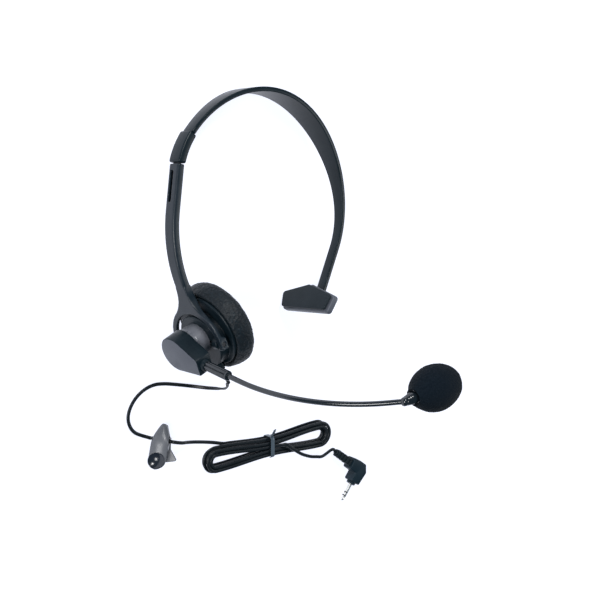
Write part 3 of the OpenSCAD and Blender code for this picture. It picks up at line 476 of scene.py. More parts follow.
    @staticmethod
    def lay(obj: Piece, place: Place) -> Piece:
        """Lay a finished mesh into a frame, with its place in its mesh.

        Args:
            obj: Object to lay.
            place: Frame to lay it into.

        Returns:
            The same object.
        """
        Bench.pick(obj)
        obj.matrix_world = place.matrix() @ obj.matrix_world
        bpy.ops.object.transform_apply(location=True, rotation=True, scale=True)
        return obj

    @staticmethod
    def dapple(obj: Piece, *layers: Flat) -> Piece:
        """Push a fine mesh in and out by layers of clouds.

        Args:
            obj: Mesh to change.
            layers: Size of the clouds and depth of the relief in each layer, in millimetres.

        Returns:
            The same object.
        """
        for size, depth in layers:
            clouds = bpy.data.textures.new(obj.name + "_clouds", "CLOUDS")
            clouds.noise_scale = size * MM
            Bench.modify(
                obj, "DISPLACE", texture=clouds, texture_coords="LOCAL", strength=depth * MM, mid_level=0.5
            )
            bpy.data.textures.remove(clouds)
        return obj

    @staticmethod
    def skin(name: str, rings: Sequence[Sequence[Sequence[float]]]) -> Piece:
        """Bridge rings of equal count into one closed mesh.

        Args:
            name: Name of the new object.
            rings: Rings of points, in millimetres.

        Returns:
            The closed mesh.
        """
        mesh = bmesh.new()
        loops = [[mesh.verts.new(MM * Vector(p)) for p in ring] for ring in rings]
        for a, b in zip(loops, loops[1:]):
            for i in range(len(a)):
                j = (i + 1) % len(a)
                mesh.faces.new((a[i], a[j], b[j], b[i]))
        mesh.faces.new(list(reversed(loops[0])))
        mesh.faces.new(loops[-1])
        data = bpy.data.meshes.new(name)
        mesh.to_mesh(data)
        mesh.free()
        obj = bpy.data.objects.new(name, data)
        bpy.context.scene.collection.objects.link(obj)
        return Bench.done(obj)

    @staticmethod
    def tube(name: str, path: Sequence[Vector], radius: float, sides: int) -> Piece:
        """Run a round tube along a path.

        Args:
            name: Name of the new object.
            path: Points of its centreline, in millimetres.
            radius: Its radius.
            sides: Corners of its section.

        Returns:
            The closed tube.
        """
        rings, normal = [], LOCAL.x
        for p, t in zip(path, headings(path)):
            normal = (normal - normal.dot(t) * t).normalized()
            circle = (polar(radius, 360 * k / sides) for k in range(sides))
            rings.append([p + x * normal + y * t.cross(normal) for x, y in circle])
        return Bench.skin(name, rings)


class Wiring:
    """Node tree of a material or group while it is wired up."""

    def __init__(self, tree: bpy.types.NodeTree) -> None:
        """Start on an empty tree."""
        self.tree = tree
        tree.nodes.clear()

    def add(self, kind: str, values: dict[str | int, object] | None = None, **settings: object) -> Node:
        """Add a node, set it, and link or fill its inputs.

        Args:
            kind: Type of the node.
            values: Input names or numbers, each with a value or with the socket that feeds it.
            settings: Attributes of the node itself.

        Returns:
            The node.
        """
        node = self.tree.nodes.new(kind)
        for key, value in settings.items():
            setattr(node, key, value)
        for key, value in (values or {}).items():
            if isinstance(value, Socket):
                self.tree.links.new(value, node.inputs[key])
            else:
                node.inputs[key].default_value = value
        return node

    def noise(self, vector: Socket, scale: Socket, detail: float, roughness: float = 0.5) -> Node:
        """Noise at a scale and a count of finer layers."""
        values = {"Vector": vector, "Scale": scale, "Detail": detail, "Roughness": roughness}
        return self.add("ShaderNodeTexNoise", values)

    def sum(self, operation: str, *values: object, kind: str = "ShaderNodeMath") -> Socket:
        """Result of a sum on numbers, or on vectors where the kind says so."""
        return self.add(kind, dict(enumerate(values)), operation=operation).outputs[0]

    def blend(self, share: Socket, a: Colour | Socket, b: Colour | Socket) -> Socket:
        """Mix two colours by a share that changes over the surface."""
        ends = {i: c if isinstance(c, Socket) else (*c, 1) for i, c in ((6, a), (7, b))}
        return self.add("ShaderNodeMix", {0: share, **ends}, data_type="RGBA").outputs[2]

    def spread(self, value: Socket, span: Flat, to: Flat = (0, 1)) -> Socket:
        """Stretch a value from one span to another."""
        limits = dict(zip(("From Min", "From Max", "To Min", "To Max"), (*span, *to)))
        return self.add("ShaderNodeMapRange", {"Value": value, **limits}).outputs[0]


class Effect(Enum):
    """Shader effects that several finishes share, each one node group."""

    GRAIN = "moulded_grain"
    SCUFFS = "light_scuffs"
    CELLS = "foam_cells"

    def group(self) -> bpy.types.NodeTree:
        """Build the effect's node group, once.

        Returns:
            The group, with a relief and a tone as its outputs.
        """
        made = bpy.data.node_groups.get(self.value)
        if made is None:
            made = bpy.data.node_groups.new(self.value, "ShaderNodeTree")
            wiring = Wiring(made)
            made.interface.new_socket("Vector", in_out="INPUT", socket_type="NodeSocketVector")
            made.interface.new_socket("Scale", in_out="INPUT", socket_type="NodeSocketFloat")
            for name in ("Height", "Tone"):
                made.interface.new_socket(name, in_out="OUTPUT", socket_type="NodeSocketFloat")
            start = wiring.add("NodeGroupInput").outputs
            recipe = {Effect.GRAIN: mould_grain, Effect.SCUFFS: light_scuffs, Effect.CELLS: foam_cells}[self]
            height, tone = recipe(wiring, start["Vector"], start["Scale"])
            wiring.add("NodeGroupOutput", {"Height": height, "Tone": tone})
        return made


def mould_grain(wiring: Wiring, vector: Socket, scale: Socket) -> tuple[Socket, Socket]:
    """Wire the fine spark-eroded grain of a mould, with a broad drift in tone.

    Args:
        wiring: Node group to wire.
        vector: Place on the surface.
        scale: Scale of the effect.

    Returns:
        Relief and tone.
    """
    broad_scale = wiring.sum("MULTIPLY", scale, 0.04)
    broad = wiring.noise(vector, broad_scale, 2.0)
    fine = wiring.noise(vector, scale, 4.0, 0.6)
    return fine.outputs["Fac"], wiring.spread(broad.outputs["Fac"], NOISE_SPAN)


def light_scuffs(wiring: Wiring, vector: Socket, scale: Socket) -> tuple[Socket, Socket]:
    """Wire faint rubbed marks: stretched noise that shows only at its peaks.

    Args:
        wiring: Node group to wire.
        vector: Place on the surface.
        scale: Scale of the effect.

    Returns:
        Relief and tone.
    """
    stretch = {"Vector": vector, "Rotation": (0.4, 0.2, 0.7), "Scale": (1, 9, 3)}
    drawn = wiring.add("ShaderNodeMapping", stretch).outputs[0]
    marks = wiring.noise(drawn, scale, 5.0).outputs["Fac"]
    return marks, wiring.spread(marks, (0.58, 0.74))


def foam_cells(wiring: Wiring, vector: Socket, scale: Socket) -> tuple[Socket, Socket]:
    """Wire open foam cells in two sizes, with the sunken pores between the struts darkened as painted shade.

    Args:
        wiring: Node group to wire.
        vector: Place on the surface.
        scale: Scale of the effect.

    Returns:
        Relief and tone; the tone is the share of painted shade in the pores.
    """
    warp = wiring.noise(vector, scale, 2.0).outputs["Color"]
    shift = wiring.sum("MULTIPLY", warp, (0.0004, 0.0004, 0.0004), kind="ShaderNodeVectorMath")
    bent = wiring.sum("ADD", vector, shift, kind="ShaderNodeVectorMath")
    finer = wiring.sum("MULTIPLY", scale, 2.3)
    large, small = (
        wiring.add("ShaderNodeTexVoronoi", {"Vector": bent, "Scale": size}, feature="SMOOTH_F1")
        for size in (scale, finer)
    )
    both = wiring.sum("MULTIPLY_ADD", small.outputs["Distance"], 0.5, large.outputs["Distance"])
    # The tone is painted shade: it is highest where the surface sinks between the cells, and darkens the
    # colour there.
    return both, wiring.spread(both, (0.25, 0.95))


@dataclass(frozen=True)
class Finish:
    """Finish of a surface, as one procedural material."""

    name: str
    slot: Slot
    colour: Colour
    light: Colour
    roughness: Flat
    grain_scale: float = 2600
    grain_depth: float = 0.03
    bump_strength: float = 0.35
    scuff_scale: float = 60
    scuff_share: float = 0.12
    scuff_gain: float = 1.6
    scuff_lift: float = 0.02
    metallic: float = 0.0
    specular: float = 0.5
    coat: float = 0.0
    sheen: float = 0.0

    def material(self) -> bpy.types.Material:
        """Build the finish's material, once.

        Returns:
            The material.
        """
        made = bpy.data.materials.get(self.name)
        if made is None:
            made = bpy.data.materials.new(self.name)
            made.use_nodes = True
            made.diffuse_color = (*self.light, 1)
            self.wire(Wiring(made.node_tree))
        return made

    @staticmethod
    def effect(wiring: Wiring, effect: Effect, scale: float) -> bpy.types.NodeOutputs:
        """Place a shared effect, on Object coordinates, at a scale of its own."""
        values = {"Vector": wiring.add("ShaderNodeTexCoord").outputs["Object"], "Scale": scale}
        return wiring.add("ShaderNodeGroup", values, node_tree=effect.group()).outputs

    def surface(self, wiring: Wiring, colour: Socket, rough: Socket, bump: Node) -> None:
        """End the material in its shader, with this finish's constant values on the shader's own sockets.

        Args:
            wiring: Material to wire.
            colour: Colour over the surface.
            rough: Roughness over the surface.
            bump: Relief of the surface.
        """
        values = {
            "Base Color": colour, "Roughness": rough, "Normal": bump.outputs[0], "Metallic": self.metallic,
            "Specular IOR Level": self.specular, "Coat Weight": self.coat, "Sheen Weight": self.sheen,
        }
        shader = wiring.add("ShaderNodeBsdfPrincipled", values)
        wiring.add("ShaderNodeOutputMaterial", {"Surface": shader.outputs[0]})

    def wire(self, wiring: Wiring) -> None:
        """Wire a moulded or drawn surface: grain in its relief and gloss, drift and scuffs in its colour.

        Args:
            wiring: Material to wire.
        """
        grain = self.effect(wiring, Effect.GRAIN, self.grain_scale)
        scuffs = self.effect(wiring, Effect.SCUFFS, self.scuff_scale)
        worn = wiring.sum("MULTIPLY", scuffs["Tone"], self.scuff_share)
        base = wiring.blend(grain["Tone"], self.colour, self.light)
        rubbed = tuple(min(1.0, self.scuff_gain * c + self.scuff_lift) for c in self.light)
        rough = wiring.spread(grain["Height"], NOISE_SPAN, self.roughness)
        depth = self.grain_depth * MM
        relief = {"Height": grain["Height"], "Strength": self.bump_strength, "Distance": depth}
        self.surface(wiring, wiring.blend(worn, base, rubbed), rough, wiring.add("ShaderNodeBump", relief))

    def dress(self, obj: Piece) -> None:
        """Give an object this finish.

        Args:
            obj: Object to dress.
        """
        obj.data.materials.clear()
        obj.data.materials.append(self.material())


@dataclass(frozen=True)
class FoamFinish(Finish):
    """Open-cell foam: paler struts, with the sunken pores between them darkened as painted shade."""

    bump_strength: float = 0.8
    cell_scale: float = 900
    drift_share: float = 0.45

    def wire(self, wiring: Wiring) -> None:
        """Wire foam cells into the relief, and darken their sunken pores in the colour as painted shade.

        Args:
            wiring: Material to wire.
        """
        cells = self.effect(wiring, Effect.CELLS, self.cell_scale)
        grain = self.effect(wiring, Effect.GRAIN, self.grain_scale)
        drift = wiring.blend(grain["Tone"], self.light, tuple(self.drift_share * c for c in self.light))
        rough = wiring.spread(cells["Tone"], (0, 1), self.roughness)
        depth = self.grain_depth * MM
        relief = {"Height": cells["Height"], "Strength": self.bump_strength, "Distance": depth}
        bump = wiring.add("ShaderNodeBump", relief, invert=True)
        # Painted shade: the colour runs to the darker of the two where the pores sink.
        self.surface(wiring, wiring.blend(cells["Tone"], drift, self.colour), rough, bump)


BLACK = Finish(
    "black_plastic", Slot.BLACK, (0.004, 0.010, 0.015), (0.008, 0.016, 0.022), (0.3, 0.4), specular=0.22
)
ARM = Finish(
    "arm_plastic", Slot.BLACK, (0.006, 0.013, 0.020), (0.011, 0.019, 0.028), (0.3, 0.4), specular=0.38
)
HUB = Finish(
    "hub_plastic", Slot.BLACK, (0.006, 0.010, 0.014), (0.010, 0.015, 0.021), (0.14, 0.2), specular=0.7
)
# Painted highlight: the barrel's plastic is a pale grey, brighter than the hub's black plastic, standing in
# for the highlights along the barrel.
BARREL_PAINTED_HIGHLIGHT = Finish(
    "barrel_painted_highlight", Slot.SATIN, (0.150, 0.156, 0.180), (0.180, 0.186, 0.210), (0.2, 0.28), specular=1.0
)
SATIN = Finish(
    "satin_plastic", Slot.SATIN, (0.084, 0.092, 0.115), (0.100, 0.109, 0.135), (0.36, 0.48), grain_depth=0.05
)
GRIP = Finish(
    "grip_plastic", Slot.SATIN, (0.118, 0.123, 0.138), (0.142, 0.147, 0.163), (0.3, 0.4), grain_depth=0.05
)
POLISHED = Finish(
    "polished_plastic", Slot.SATIN, (0.010, 0.014, 0.022), (0.015, 0.020, 0.030), (0.18, 0.24),
    grain_depth=0.004, coat=0.2,
)
RUBBER = Finish(
    "soft_rubber", Slot.RUBBER, (0.006, 0.012, 0.016), (0.011, 0.018, 0.024), (0.5, 0.62),
    grain_depth=0.06, specular=0.25,
)
JACKET = Finish(
    "cord_jacket", Slot.RUBBER, (0.004, 0.007, 0.010), (0.007, 0.011, 0.015), (0.34, 0.46),
    scuff_share=0.05, specular=0.35,
)
MOULDING = Finish(
    "plug_rubber", Slot.RUBBER, (0.006, 0.017, 0.026), (0.010, 0.024, 0.036), (0.4, 0.52), specular=0.25
)
STEEL = Finish("bright_steel", Slot.STEEL, (0.52, 0.53, 0.55), (0.64, 0.65, 0.67), (0.22, 0.34), metallic=1.0)
DARK_STEEL = Finish(
    "blackened_steel", Slot.STEEL, (0.02, 0.022, 0.025), (0.04, 0.042, 0.046), (0.35, 0.5), metallic=1.0
)
NICKEL = Finish(
    "nickel_plate", Slot.NICKEL, (0.86, 0.85, 0.82), (0.92, 0.91, 0.88), (0.36, 0.46), metallic=1.0
)
TIE = Finish("tie_ribbon", Slot.STEEL, (0.06, 0.085, 0.11), (0.10, 0.13, 0.16), (0.3, 0.42), coat=0.2)
# In each foam the darker colour is painted shade in the pores, and the lighter one is the struts' own colour.
CUSHION_FOAM = FoamFinish(
    "cushion_foam", Slot.FOAM, (0.003, 0.006, 0.009), (0.008, 0.017, 0.025), (0.42, 0.6),
    grain_scale=6000, grain_depth=0.25, sheen=0.03, specular=0.3,
)
SCREEN_FOAM = FoamFinish(
    "screen_foam", Slot.FOAM, (0.003, 0.007, 0.012), (0.008, 0.015, 0.024), (0.9, 1.0),
    grain_scale=500, grain_depth=0.3, sheen=0.04, specular=0.1, cell_scale=1200,
)


def settle(
    obj: Piece, body: Body, finish: Finish, *nodes: str, place: Place | None = None, smooth: float = 40
) -> Piece:
    """Lay a piece in place, shade and dress it, and let it ride on a body.

    Args:
        obj: The finished piece.
        body: Body that it moves with.
        finish: Finish that it gets.
        nodes: Nodes of the frame that it stands for.
        place: Frame that its mesh is laid into, unless it lies there already.
        smooth: Angle below which an edge is shaded smoothly.

    Returns:
        The same piece.
    """
    if place is not None:
        Bench.lay(obj, place)
    Bench.pick(obj)
    bpy.ops.object.shade_smooth_by_angle(angle=math.radians(smooth))
    finish.dress(obj)
    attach(obj, body.value)
    if nodes:
        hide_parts(*nodes)
    LOG.info("piece %s rides on %s", obj.name, body.value)
    return obj


@dataclass
class Headband:
    """Sprung strip over the head, with the sleeve of its slide and the eye of its temple hinge."""

    layout: Layout
    band_r: float = 60
    band_t: float = 2.6
    band_sway: float = 2.2
    band_edge: float = 0.6
    crown_w: float = 18
    crown_a: float = 75
    sleeve_w: float = 9.2
    sleeve_t: float = 4.8
    sleeve_r: float = 41
    sleeve_a: float = 142
    sleeve_turn: float = 24
    sleeve_step: float = 0.6
    sleeve_edge: float = 1.1
    stem_w: float = 6
    stem_len: float = 29
    stem_wide_a: float = -20
    eye_r: float = 1.9
    eye_edge: float = 0.25
    pin_r: float = 0.85
    tongue_slot: Spot = (5.3, 10.4, 1.3)
    tongue_lean: float = 97

    def width(self, angle: float) -> float:
        """Width of the strip at an angle round the head.

        Args:
            angle: Angle from the right, in degrees.

        Returns:
            The width.
        """
        end_w, end_a = self.stem_w, self.stem_wide_a
        if angle > self.crown_a:
            end_w, end_a = self.sleeve_w - self.sleeve_step, self.sleeve_a
        return mix(self.crown_w, end_w, ease((angle - self.crown_a) / (end_a - self.crown_a)))

    def sway(self, angle: float) -> float:
        """Distance by which the strip's curve stands outside a circle at an angle round the head."""
        turn = math.pi * (self.sleeve_a - angle) / (self.sleeve_a - self.layout.stem_angle)
        return self.band_sway * math.sin(2 * turn) * math.sin(turn)

    @staticmethod
    def swung(name: str, size: Flat, radius: float, centre: Flat, span: Flat) -> Piece:
        """Spin a rectangle about an axis along y.

        Args:
            name: Name of the new object.
            size: Thickness and width of the rectangle.
            radius: Radius of its middle.
            centre: Axis of the spin, to the right and up.
            span: Angles at which it starts and ends.

        Returns:
            The closed strip.
        """
        turn = span[1] - span[0]
        radial = Vector((*polar(1, span[0]), 0)).xzy
        middle = Vector((centre[0], 0, centre[1])) + radius * radial
        corners = [
            middle + radial * (size[0] * a / 2) + Vector((0, size[1] * b / 2, 0))
            for a, b in ((-1, -1), (1, -1), (1, 1), (-1, 1))
        ]
        obj = Bench.chain(name, corners)
        bpy.ops.mesh.edge_face_add()
        pivot = (centre[0] * MM, 0, centre[1] * MM)
        steps = max(4, round(abs(turn) / 2))
        bpy.ops.mesh.spin(steps=steps, angle=math.radians(turn), center=pivot, axis=(0, 1, 0))
        return Bench.done(obj)

    def strip(self, down: Vector) -> Piece:
        """Model the strip and draw its end out into the stem.

        Args:
            down: Direction of the stem.

        Returns:
            The strip with its stem.
        """
        span = (self.layout.stem_angle, self.sleeve_a)
        strip = self.swung("band_strip", (self.band_t, self.stem_w), self.band_r, (0, 0), span)
        for vertex in strip.data.vertices:
            angle = math.degrees(math.atan2(vertex.co.z, vertex.co.x))
            vertex.co.y *= self.width(angle) / self.stem_w
            vertex.co.xz += MM * Vector(polar(self.sway(angle), angle))
        Bench.edit(strip)
        bpy.ops.mesh.select_all(action="DESELECT")
        mesh = bmesh.from_edit_mesh(strip.data)
        end = max(mesh.faces, key=lambda f: f.normal.dot(down) - 10 * abs(f.normal.y))
        end.select_set(True)
        bmesh.update_edit_mesh(strip.data)
        Bench.extrude(MM * self.stem_len * down)
        return Bench.round_edges(Bench.done(strip), self.band_edge)

    def build(self) -> None:
        """Model the strip, its stem, sleeve and eye, and lay them in place."""
        c, s = polar(1, self.layout.stem_angle)
        down = Vector((s, 0, -c))
        strip = self.strip(down)
        sleeve_c = polar(self.band_r - self.sleeve_r, self.sleeve_a)
        span = (self.sleeve_a, self.sleeve_a + self.sleeve_turn)
        sleeve = self.swung("band_sleeve", (self.sleeve_t, self.sleeve_w), self.sleeve_r, sleeve_c, span)
        Bench.round_edges(sleeve, self.sleeve_edge, 4)
        hinge = Vector((*polar(self.band_r, self.layout.stem_angle), 0)).xzy + self.stem_len * down
        at_hinge = Place(MM * hinge, LOCAL.x, LOCAL.z, -LOCAL.y)
        eye = Bench.rod("hinge_eye", self.eye_r, self.stem_w, at_hinge, self.eye_edge)
        Bench.combine(strip, (sleeve, eye), "UNION")
        pin = Bench.rod("pin_cut", self.pin_r, 2 * self.stem_w, at_hinge)
        tongue = Bench.bar("tongue_cut", self.tongue_slot, (0, 0, 0))
        Bench.lay(tongue, LOCAL.leaning(polar(self.sleeve_r, span[1], sleeve_c), self.tongue_lean))
        Bench.combine(strip, (pin, tongue), "DIFFERENCE")
        settle(strip, Body.HEADBAND, BLACK, "headband", place=self.layout.headset, smooth=30)


@dataclass
class Yoke:
    """Arm and fork that carry the ear cup."""

    voxel: float = 0.3
    passes: int = 10

    def build(self) -> None:
        """Round off the arm's moulding."""
        arm = Bench.soften("yoke_arm", "yoke_moulding", self.voxel, self.passes)
        settle(arm, Body.YOKE, ARM, "yoke_arm", smooth=60)


@dataclass
class EarCup:
    """Cup shell, foam cushion, swivel hub and strain relief."""

    layout: Layout
    voxel: float = 0.3
    passes: int = 5
    cushion_r: float = 24.2
    cushion_t: float = 12
    cushion_dish: float = 2.5
    crown_share: float = 0.62
    foam_relief: tuple[Flat, ...] = ((5.0, 0.5), (1.1, 0.45))
    shell_r: float = 20
    lip_gap: float = 0.35
    back_z: float = -14.5
    hub_r: float = 8.6
    hub_len: float = 8.1
    spindle_r: float = 3.1
    pivot_y: float = 2.7
    bush_reach: float = 16.6
    bush_z: float = -11.45
    bush_len: float = 7
    bush_turn: float = 10
    bush_ribs: int = 4
    bush_r: float = 2.9
    rib_r: float = 2.3
    flange_t: float = 1.2
    cord_r: float = 0.85

    def build(self) -> None:
        """Model the cup's pieces."""
        shell = Bench.soften("cup_shell", "cup_moulding", self.voxel, self.passes)
        settle(shell, Body.EAR_CUP, BLACK, "cup_shell", smooth=60)
        self.cushion()
        self.hub()
        self.bush()

    def cushion(self) -> None:
        """Model the crowned foam ring round a shallow hollow, drawn in behind the shell's rim."""
        side, crown = self.cushion_t / 2, self.crown_share * self.cushion_r
        lip = self.shell_r + self.lip_gap
        face = [
            (crown * t, side - self.cushion_dish * (0.5 + 0.5 * math.cos(math.pi * t)))
            for t in (i / 10 for i in range(11))
        ]
        bulge = [
            (crown + (self.cushion_r - crown) * math.sin(a), side * math.cos(a))
            for a in (math.radians(7.5 * i) for i in range(1, 13))
        ]
        back = [
            (mix(self.cushion_r, lip + 1.8, t * t), -t * (side + 1.4)) for t in (i / 6 for i in range(1, 7))
        ]
        tuck = [(lip + 1.0, -side - 1.6), (lip + 0.2, -side - 1.2), (lip, -side - 0.4)]
        floor = [(lip - 0.5, 0.1 - side), *((lip * t, 0.1 - side) for t in (0.8, 0.6, 0.4, 0.2, 0.0))]
        foam = Bench.turned("foam_cushion", face + bulge + back + tuck + floor, 96)
        Bench.dapple(Bench.swell(foam, 2), *self.foam_relief)
        settle(foam, Body.EAR_CUP, CUSHION_FOAM, "ear_cushion", place=self.layout.cup, smooth=80)

    def cord_way(self) -> Place:
        """Frame inside the cup whose y runs out along the cord."""
        return self.layout.cup.moved(0, self.pivot_y, self.bush_z).turned(-self.bush_turn)

    def hub(self) -> None:
        """Model the barrel that the boom turns on, with a groove and a raised rim at its end."""
        end, top, r, bore = self.back_z - self.hub_len, self.back_z - 0.05, self.hub_r, self.spindle_r
        profile = [
            (bore, end), (r + 0.2, end), (r + 0.5, end + 0.25), (r + 0.5, end + 0.95), (r + 0.2, end + 1.2),
            (r - 0.15, end + 1.35), (r - 0.15, end + 1.7), (r, end + 1.9), (r, top), (bore, top), (bore, end),
        ]
        barrel = Bench.turned("hub_moulding", profile, 96)
        # Its pale grey finish is a painted highlight.
        settle(barrel, Body.EAR_CUP, BARREL_PAINTED_HIGHLIGHT, "hub_barrel", place=self.layout.cup, smooth=35)

    def bush(self) -> None:
        """Model the tapered strain relief with ribs, where the cord leaves the cup."""
        bore, end, flange = self.cord_r, self.bush_len, self.flange_t
        tip = bore + 0.35
        wide, narrow = self.bush_r, self.bush_r - 0.3
        profile = [(bore, 0.0), (narrow, 0.0), (wide, 0.25), (wide, flange - 0.25), (narrow, flange)]
        pitch = (end - flange - 0.6) / self.bush_ribs
        for i in range(self.bush_ribs):
            z, r = flange + 0.2 + i * pitch, mix(self.rib_r, tip + 0.25, i / (self.bush_ribs - 1))
            profile += [(r - 0.4, z), (r, z + 0.15), (r, z + 0.55 * pitch), (r - 0.4, z + 0.7 * pitch)]
        profile += [(tip, end - 0.2), (tip - 0.15, end), (bore, end), (bore, 0.0)]
        relief = Bench.turned("cord_relief", profile, 48)
        place = self.cord_way().moved(0, self.bush_reach, 0).along_y()
        settle(relief, Body.EAR_CUP, RUBBER, "cord_bush", place=place)


@dataclass
class Boom:
    """Swivel pod, splined collar, gooseneck and microphone."""

    layout: Layout
    pod_r: float = 9.7
    pod_back_z: float = -22.9
    pod_t: float = 9.1
    pod_edge: float = 0.5
    pod_seam: float = 0.03
    panel_inset: float = 0.4
    panel_proud: float = 0.12
    panel_deep: float = 0.3
    end_a: Flat = (16.8, -2.8)
    end_b: Flat = (18, 6.2)
    draw_a: Flat = (-0.91, 0.71)
    draw_b: Flat = (-1.11, -0.8)
    boom_y: float = 2
    collar_r: float = 2.6
    collar_from: float = 17.44
    collar_len: float = 17
    collar_root: float = 4.9
    collar_ring: float = 1.4
    socket: Flat = (5, 12)
    splines: int = 8
    spline_depth: float = 0.6
    neck_r: float = 1.35
    neck_root: float = 6
    neck_lead: float = 6
    bend_r: float = 113
    bend: float = 41
    neck_tail: float = 7.5
    neck_gap: float = 0.6
    mic_r: float = 3
    mic_len: float = 12
    mic_turn: float = -14.5
    mic_nod: float = 40
    screen_r: float = 11.5
    screen_len: float = 29.5
    screen_from: float = 5
    screen_wide: float = 0.5
    foam_relief: tuple[Flat, ...] = ((4.0, 0.35), (0.9, 0.3))

    @property
    def axis_z(self) -> float:
        """Height of the boom's axis, halfway through the pod."""
        return self.pod_back_z - self.pod_t / 2

    def on_axis(self, place: Place, x: float = 0) -> Place:
        """Frame on the boom's axis, with z along it."""
        return place.moved(x, self.boom_y, self.axis_z).along_x()

    def outline(self, inset: float = 0) -> list[Flat]:
        """Pod's outline: a round head, tangent to a slanted end.

        Args:
            inset: Distance by which the outline is drawn in.

        Returns:
            Corners of the outline.
        """
        r = self.pod_r - inset

        def tangent(p: Flat, side: int) -> float:
            """Angle at which a line from a point touches the round head."""
            return math.degrees(math.atan2(p[1], p[0]) + side * math.acos(r / math.hypot(*p)))

        ends = ((self.end_a, self.draw_a), (self.end_b, self.draw_b))
        a, b = ((p[0] + inset * d[0], p[1] + inset * d[1]) for p, d in ends)
        return [*arc((0, 0), r, tangent(b, 1), 360 + tangent(a, -1), 48), a, b]

    def build(self) -> None:
        """Model the boom's pieces."""
        face = self.pod_back_z - self.pod_t
        self.pod_half("pod_face", "pod_cover", face, self.axis_z + 2 * self.pod_edge, 1)
        self.pod_half("pod_back", "pod_base", self.axis_z - 2 * self.pod_edge, self.pod_back_z, -1)
        low, high = face - self.panel_proud, face + self.panel_deep
        panel = Bench.plate("pod_panel", self.outline(self.panel_inset), low, high)
        Bench.round_edges(panel, 0.1)
        settle(panel, Body.BOOM, SATIN, place=self.layout.boom, smooth=30)
        self.collar()
        self.neck()
        self.microphone()

    def pod_half(self, name: str, node: str, low: float, high: float, side: int) -> None:
        """Model a half of the pod, trimmed at the split with a hairline gap.

        Args:
            name: Name of the new piece.
            node: Node of the frame that it stands for.
            low: Its lower face.
            high: Its upper face, before the trim.
            side: Side of the split that is trimmed off, 1 or -1.
        """
        half = Bench.round_edges(Bench.plate(name, self.outline(), low, high), self.pod_edge, 4)
        block, r, depth = 60, self.collar_r + 0.05, self.socket[1]
        socket = Bench.turned("collar_cut", [(0, 0), (r, 0), (r, depth), (0, depth)], 48)
        Bench.lay(socket, self.on_axis(LOCAL, self.collar_from - self.socket[0]))
        middle = self.axis_z + side * (block / 2 - self.pod_seam)
        split = Bench.bar("split_cut", (block, block, block), (0, 0, middle))
        Bench.combine(half, (socket, split), "DIFFERENCE")
        settle(half, Body.BOOM, BLACK, node, place=self.layout.boom, smooth=30)

    def collar(self) -> None:
        """Model the splined collar with a plain ring at its free end, and the seat round its root."""
        r, z, neck = self.collar_r, self.collar_from, self.neck_r
        root, tip = z - self.collar_root, z + self.collar_len
        ring = tip - self.collar_ring
        outline = [
            polar(r - self.spline_depth * max(0.0, math.cos(math.radians(self.splines * 3 * k))) ** 2, 3 * k)
            for k in range(120)
        ]
        shaft = Bench.plate("boom_sleeve", outline, root, ring + 0.1)
        Bench.round_edges(shaft, 0.12, 2, 60)
        rim = [
            (neck, ring), (r - 0.2, ring), (r, ring + 0.2), (r, tip - 0.3), (r - 0.3, tip),
            (neck + 0.03, tip), (neck, ring),
        ]
        Bench.combine(shaft, (Bench.turned("sleeve_rim", rim),), "UNION")
        settle(shaft, Body.BOOM, HUB, "boom_collar", place=self.on_axis(self.layout.boom))
        seat = [
            (r - 0.5, z - 0.6), (r + 0.75, z - 0.6), (r + 0.75, z + 1), (r + 0.35, z + 1.7),
            (r - 0.5, z + 1.7), (r - 0.5, z - 0.6),
        ]
        flange = Bench.turned("collar_seat", seat)
        settle(flange, Body.BOOM, BLACK, place=self.on_axis(self.layout.boom))

    def neck(self) -> None:
        """Model the slim tube that runs straight, bends and runs straight again."""
        Bench.pick()
        bpy.ops.mesh.primitive_circle_add(vertices=32, radius=self.neck_r * MM, fill_type="NGON")
        tube = Bench.named("boom_tube")
        Bench.edit(tube)
        lead = (self.neck_root + self.neck_lead) * MM
        Bench.extrude((0, 0, lead))
        a, pivot = math.radians(self.bend), (-self.bend_r * MM, 0, lead)
        bpy.ops.mesh.spin(steps=60, angle=a, center=pivot, axis=(0, 1, 0))
        Bench.extrude(Vector((-math.sin(a), 0, math.cos(a))) * (self.neck_tail - self.neck_gap) * MM)
        place = self.on_axis(self.layout.boom, self.collar_from + self.collar_len - self.neck_root)
        settle(Bench.done(tube), Body.BOOM, HUB, "gooseneck", place=place)

    def mic_place(self) -> Place:
        """Follow the gooseneck to the foot of the microphone.

        Returns:
            Frame there, with z along the microphone.
        """
        x, z = polar(self.bend_r, self.bend - 90, (0, self.bend_r))
        start = self.collar_from + self.collar_len + self.neck_lead
        bent = self.layout.boom.moved(start + x, self.boom_y, self.axis_z + z).tipped(self.bend)
        return bent.moved(self.neck_tail, 0, 0).turned(-self.mic_turn).tipped(self.mic_nod).along_x()

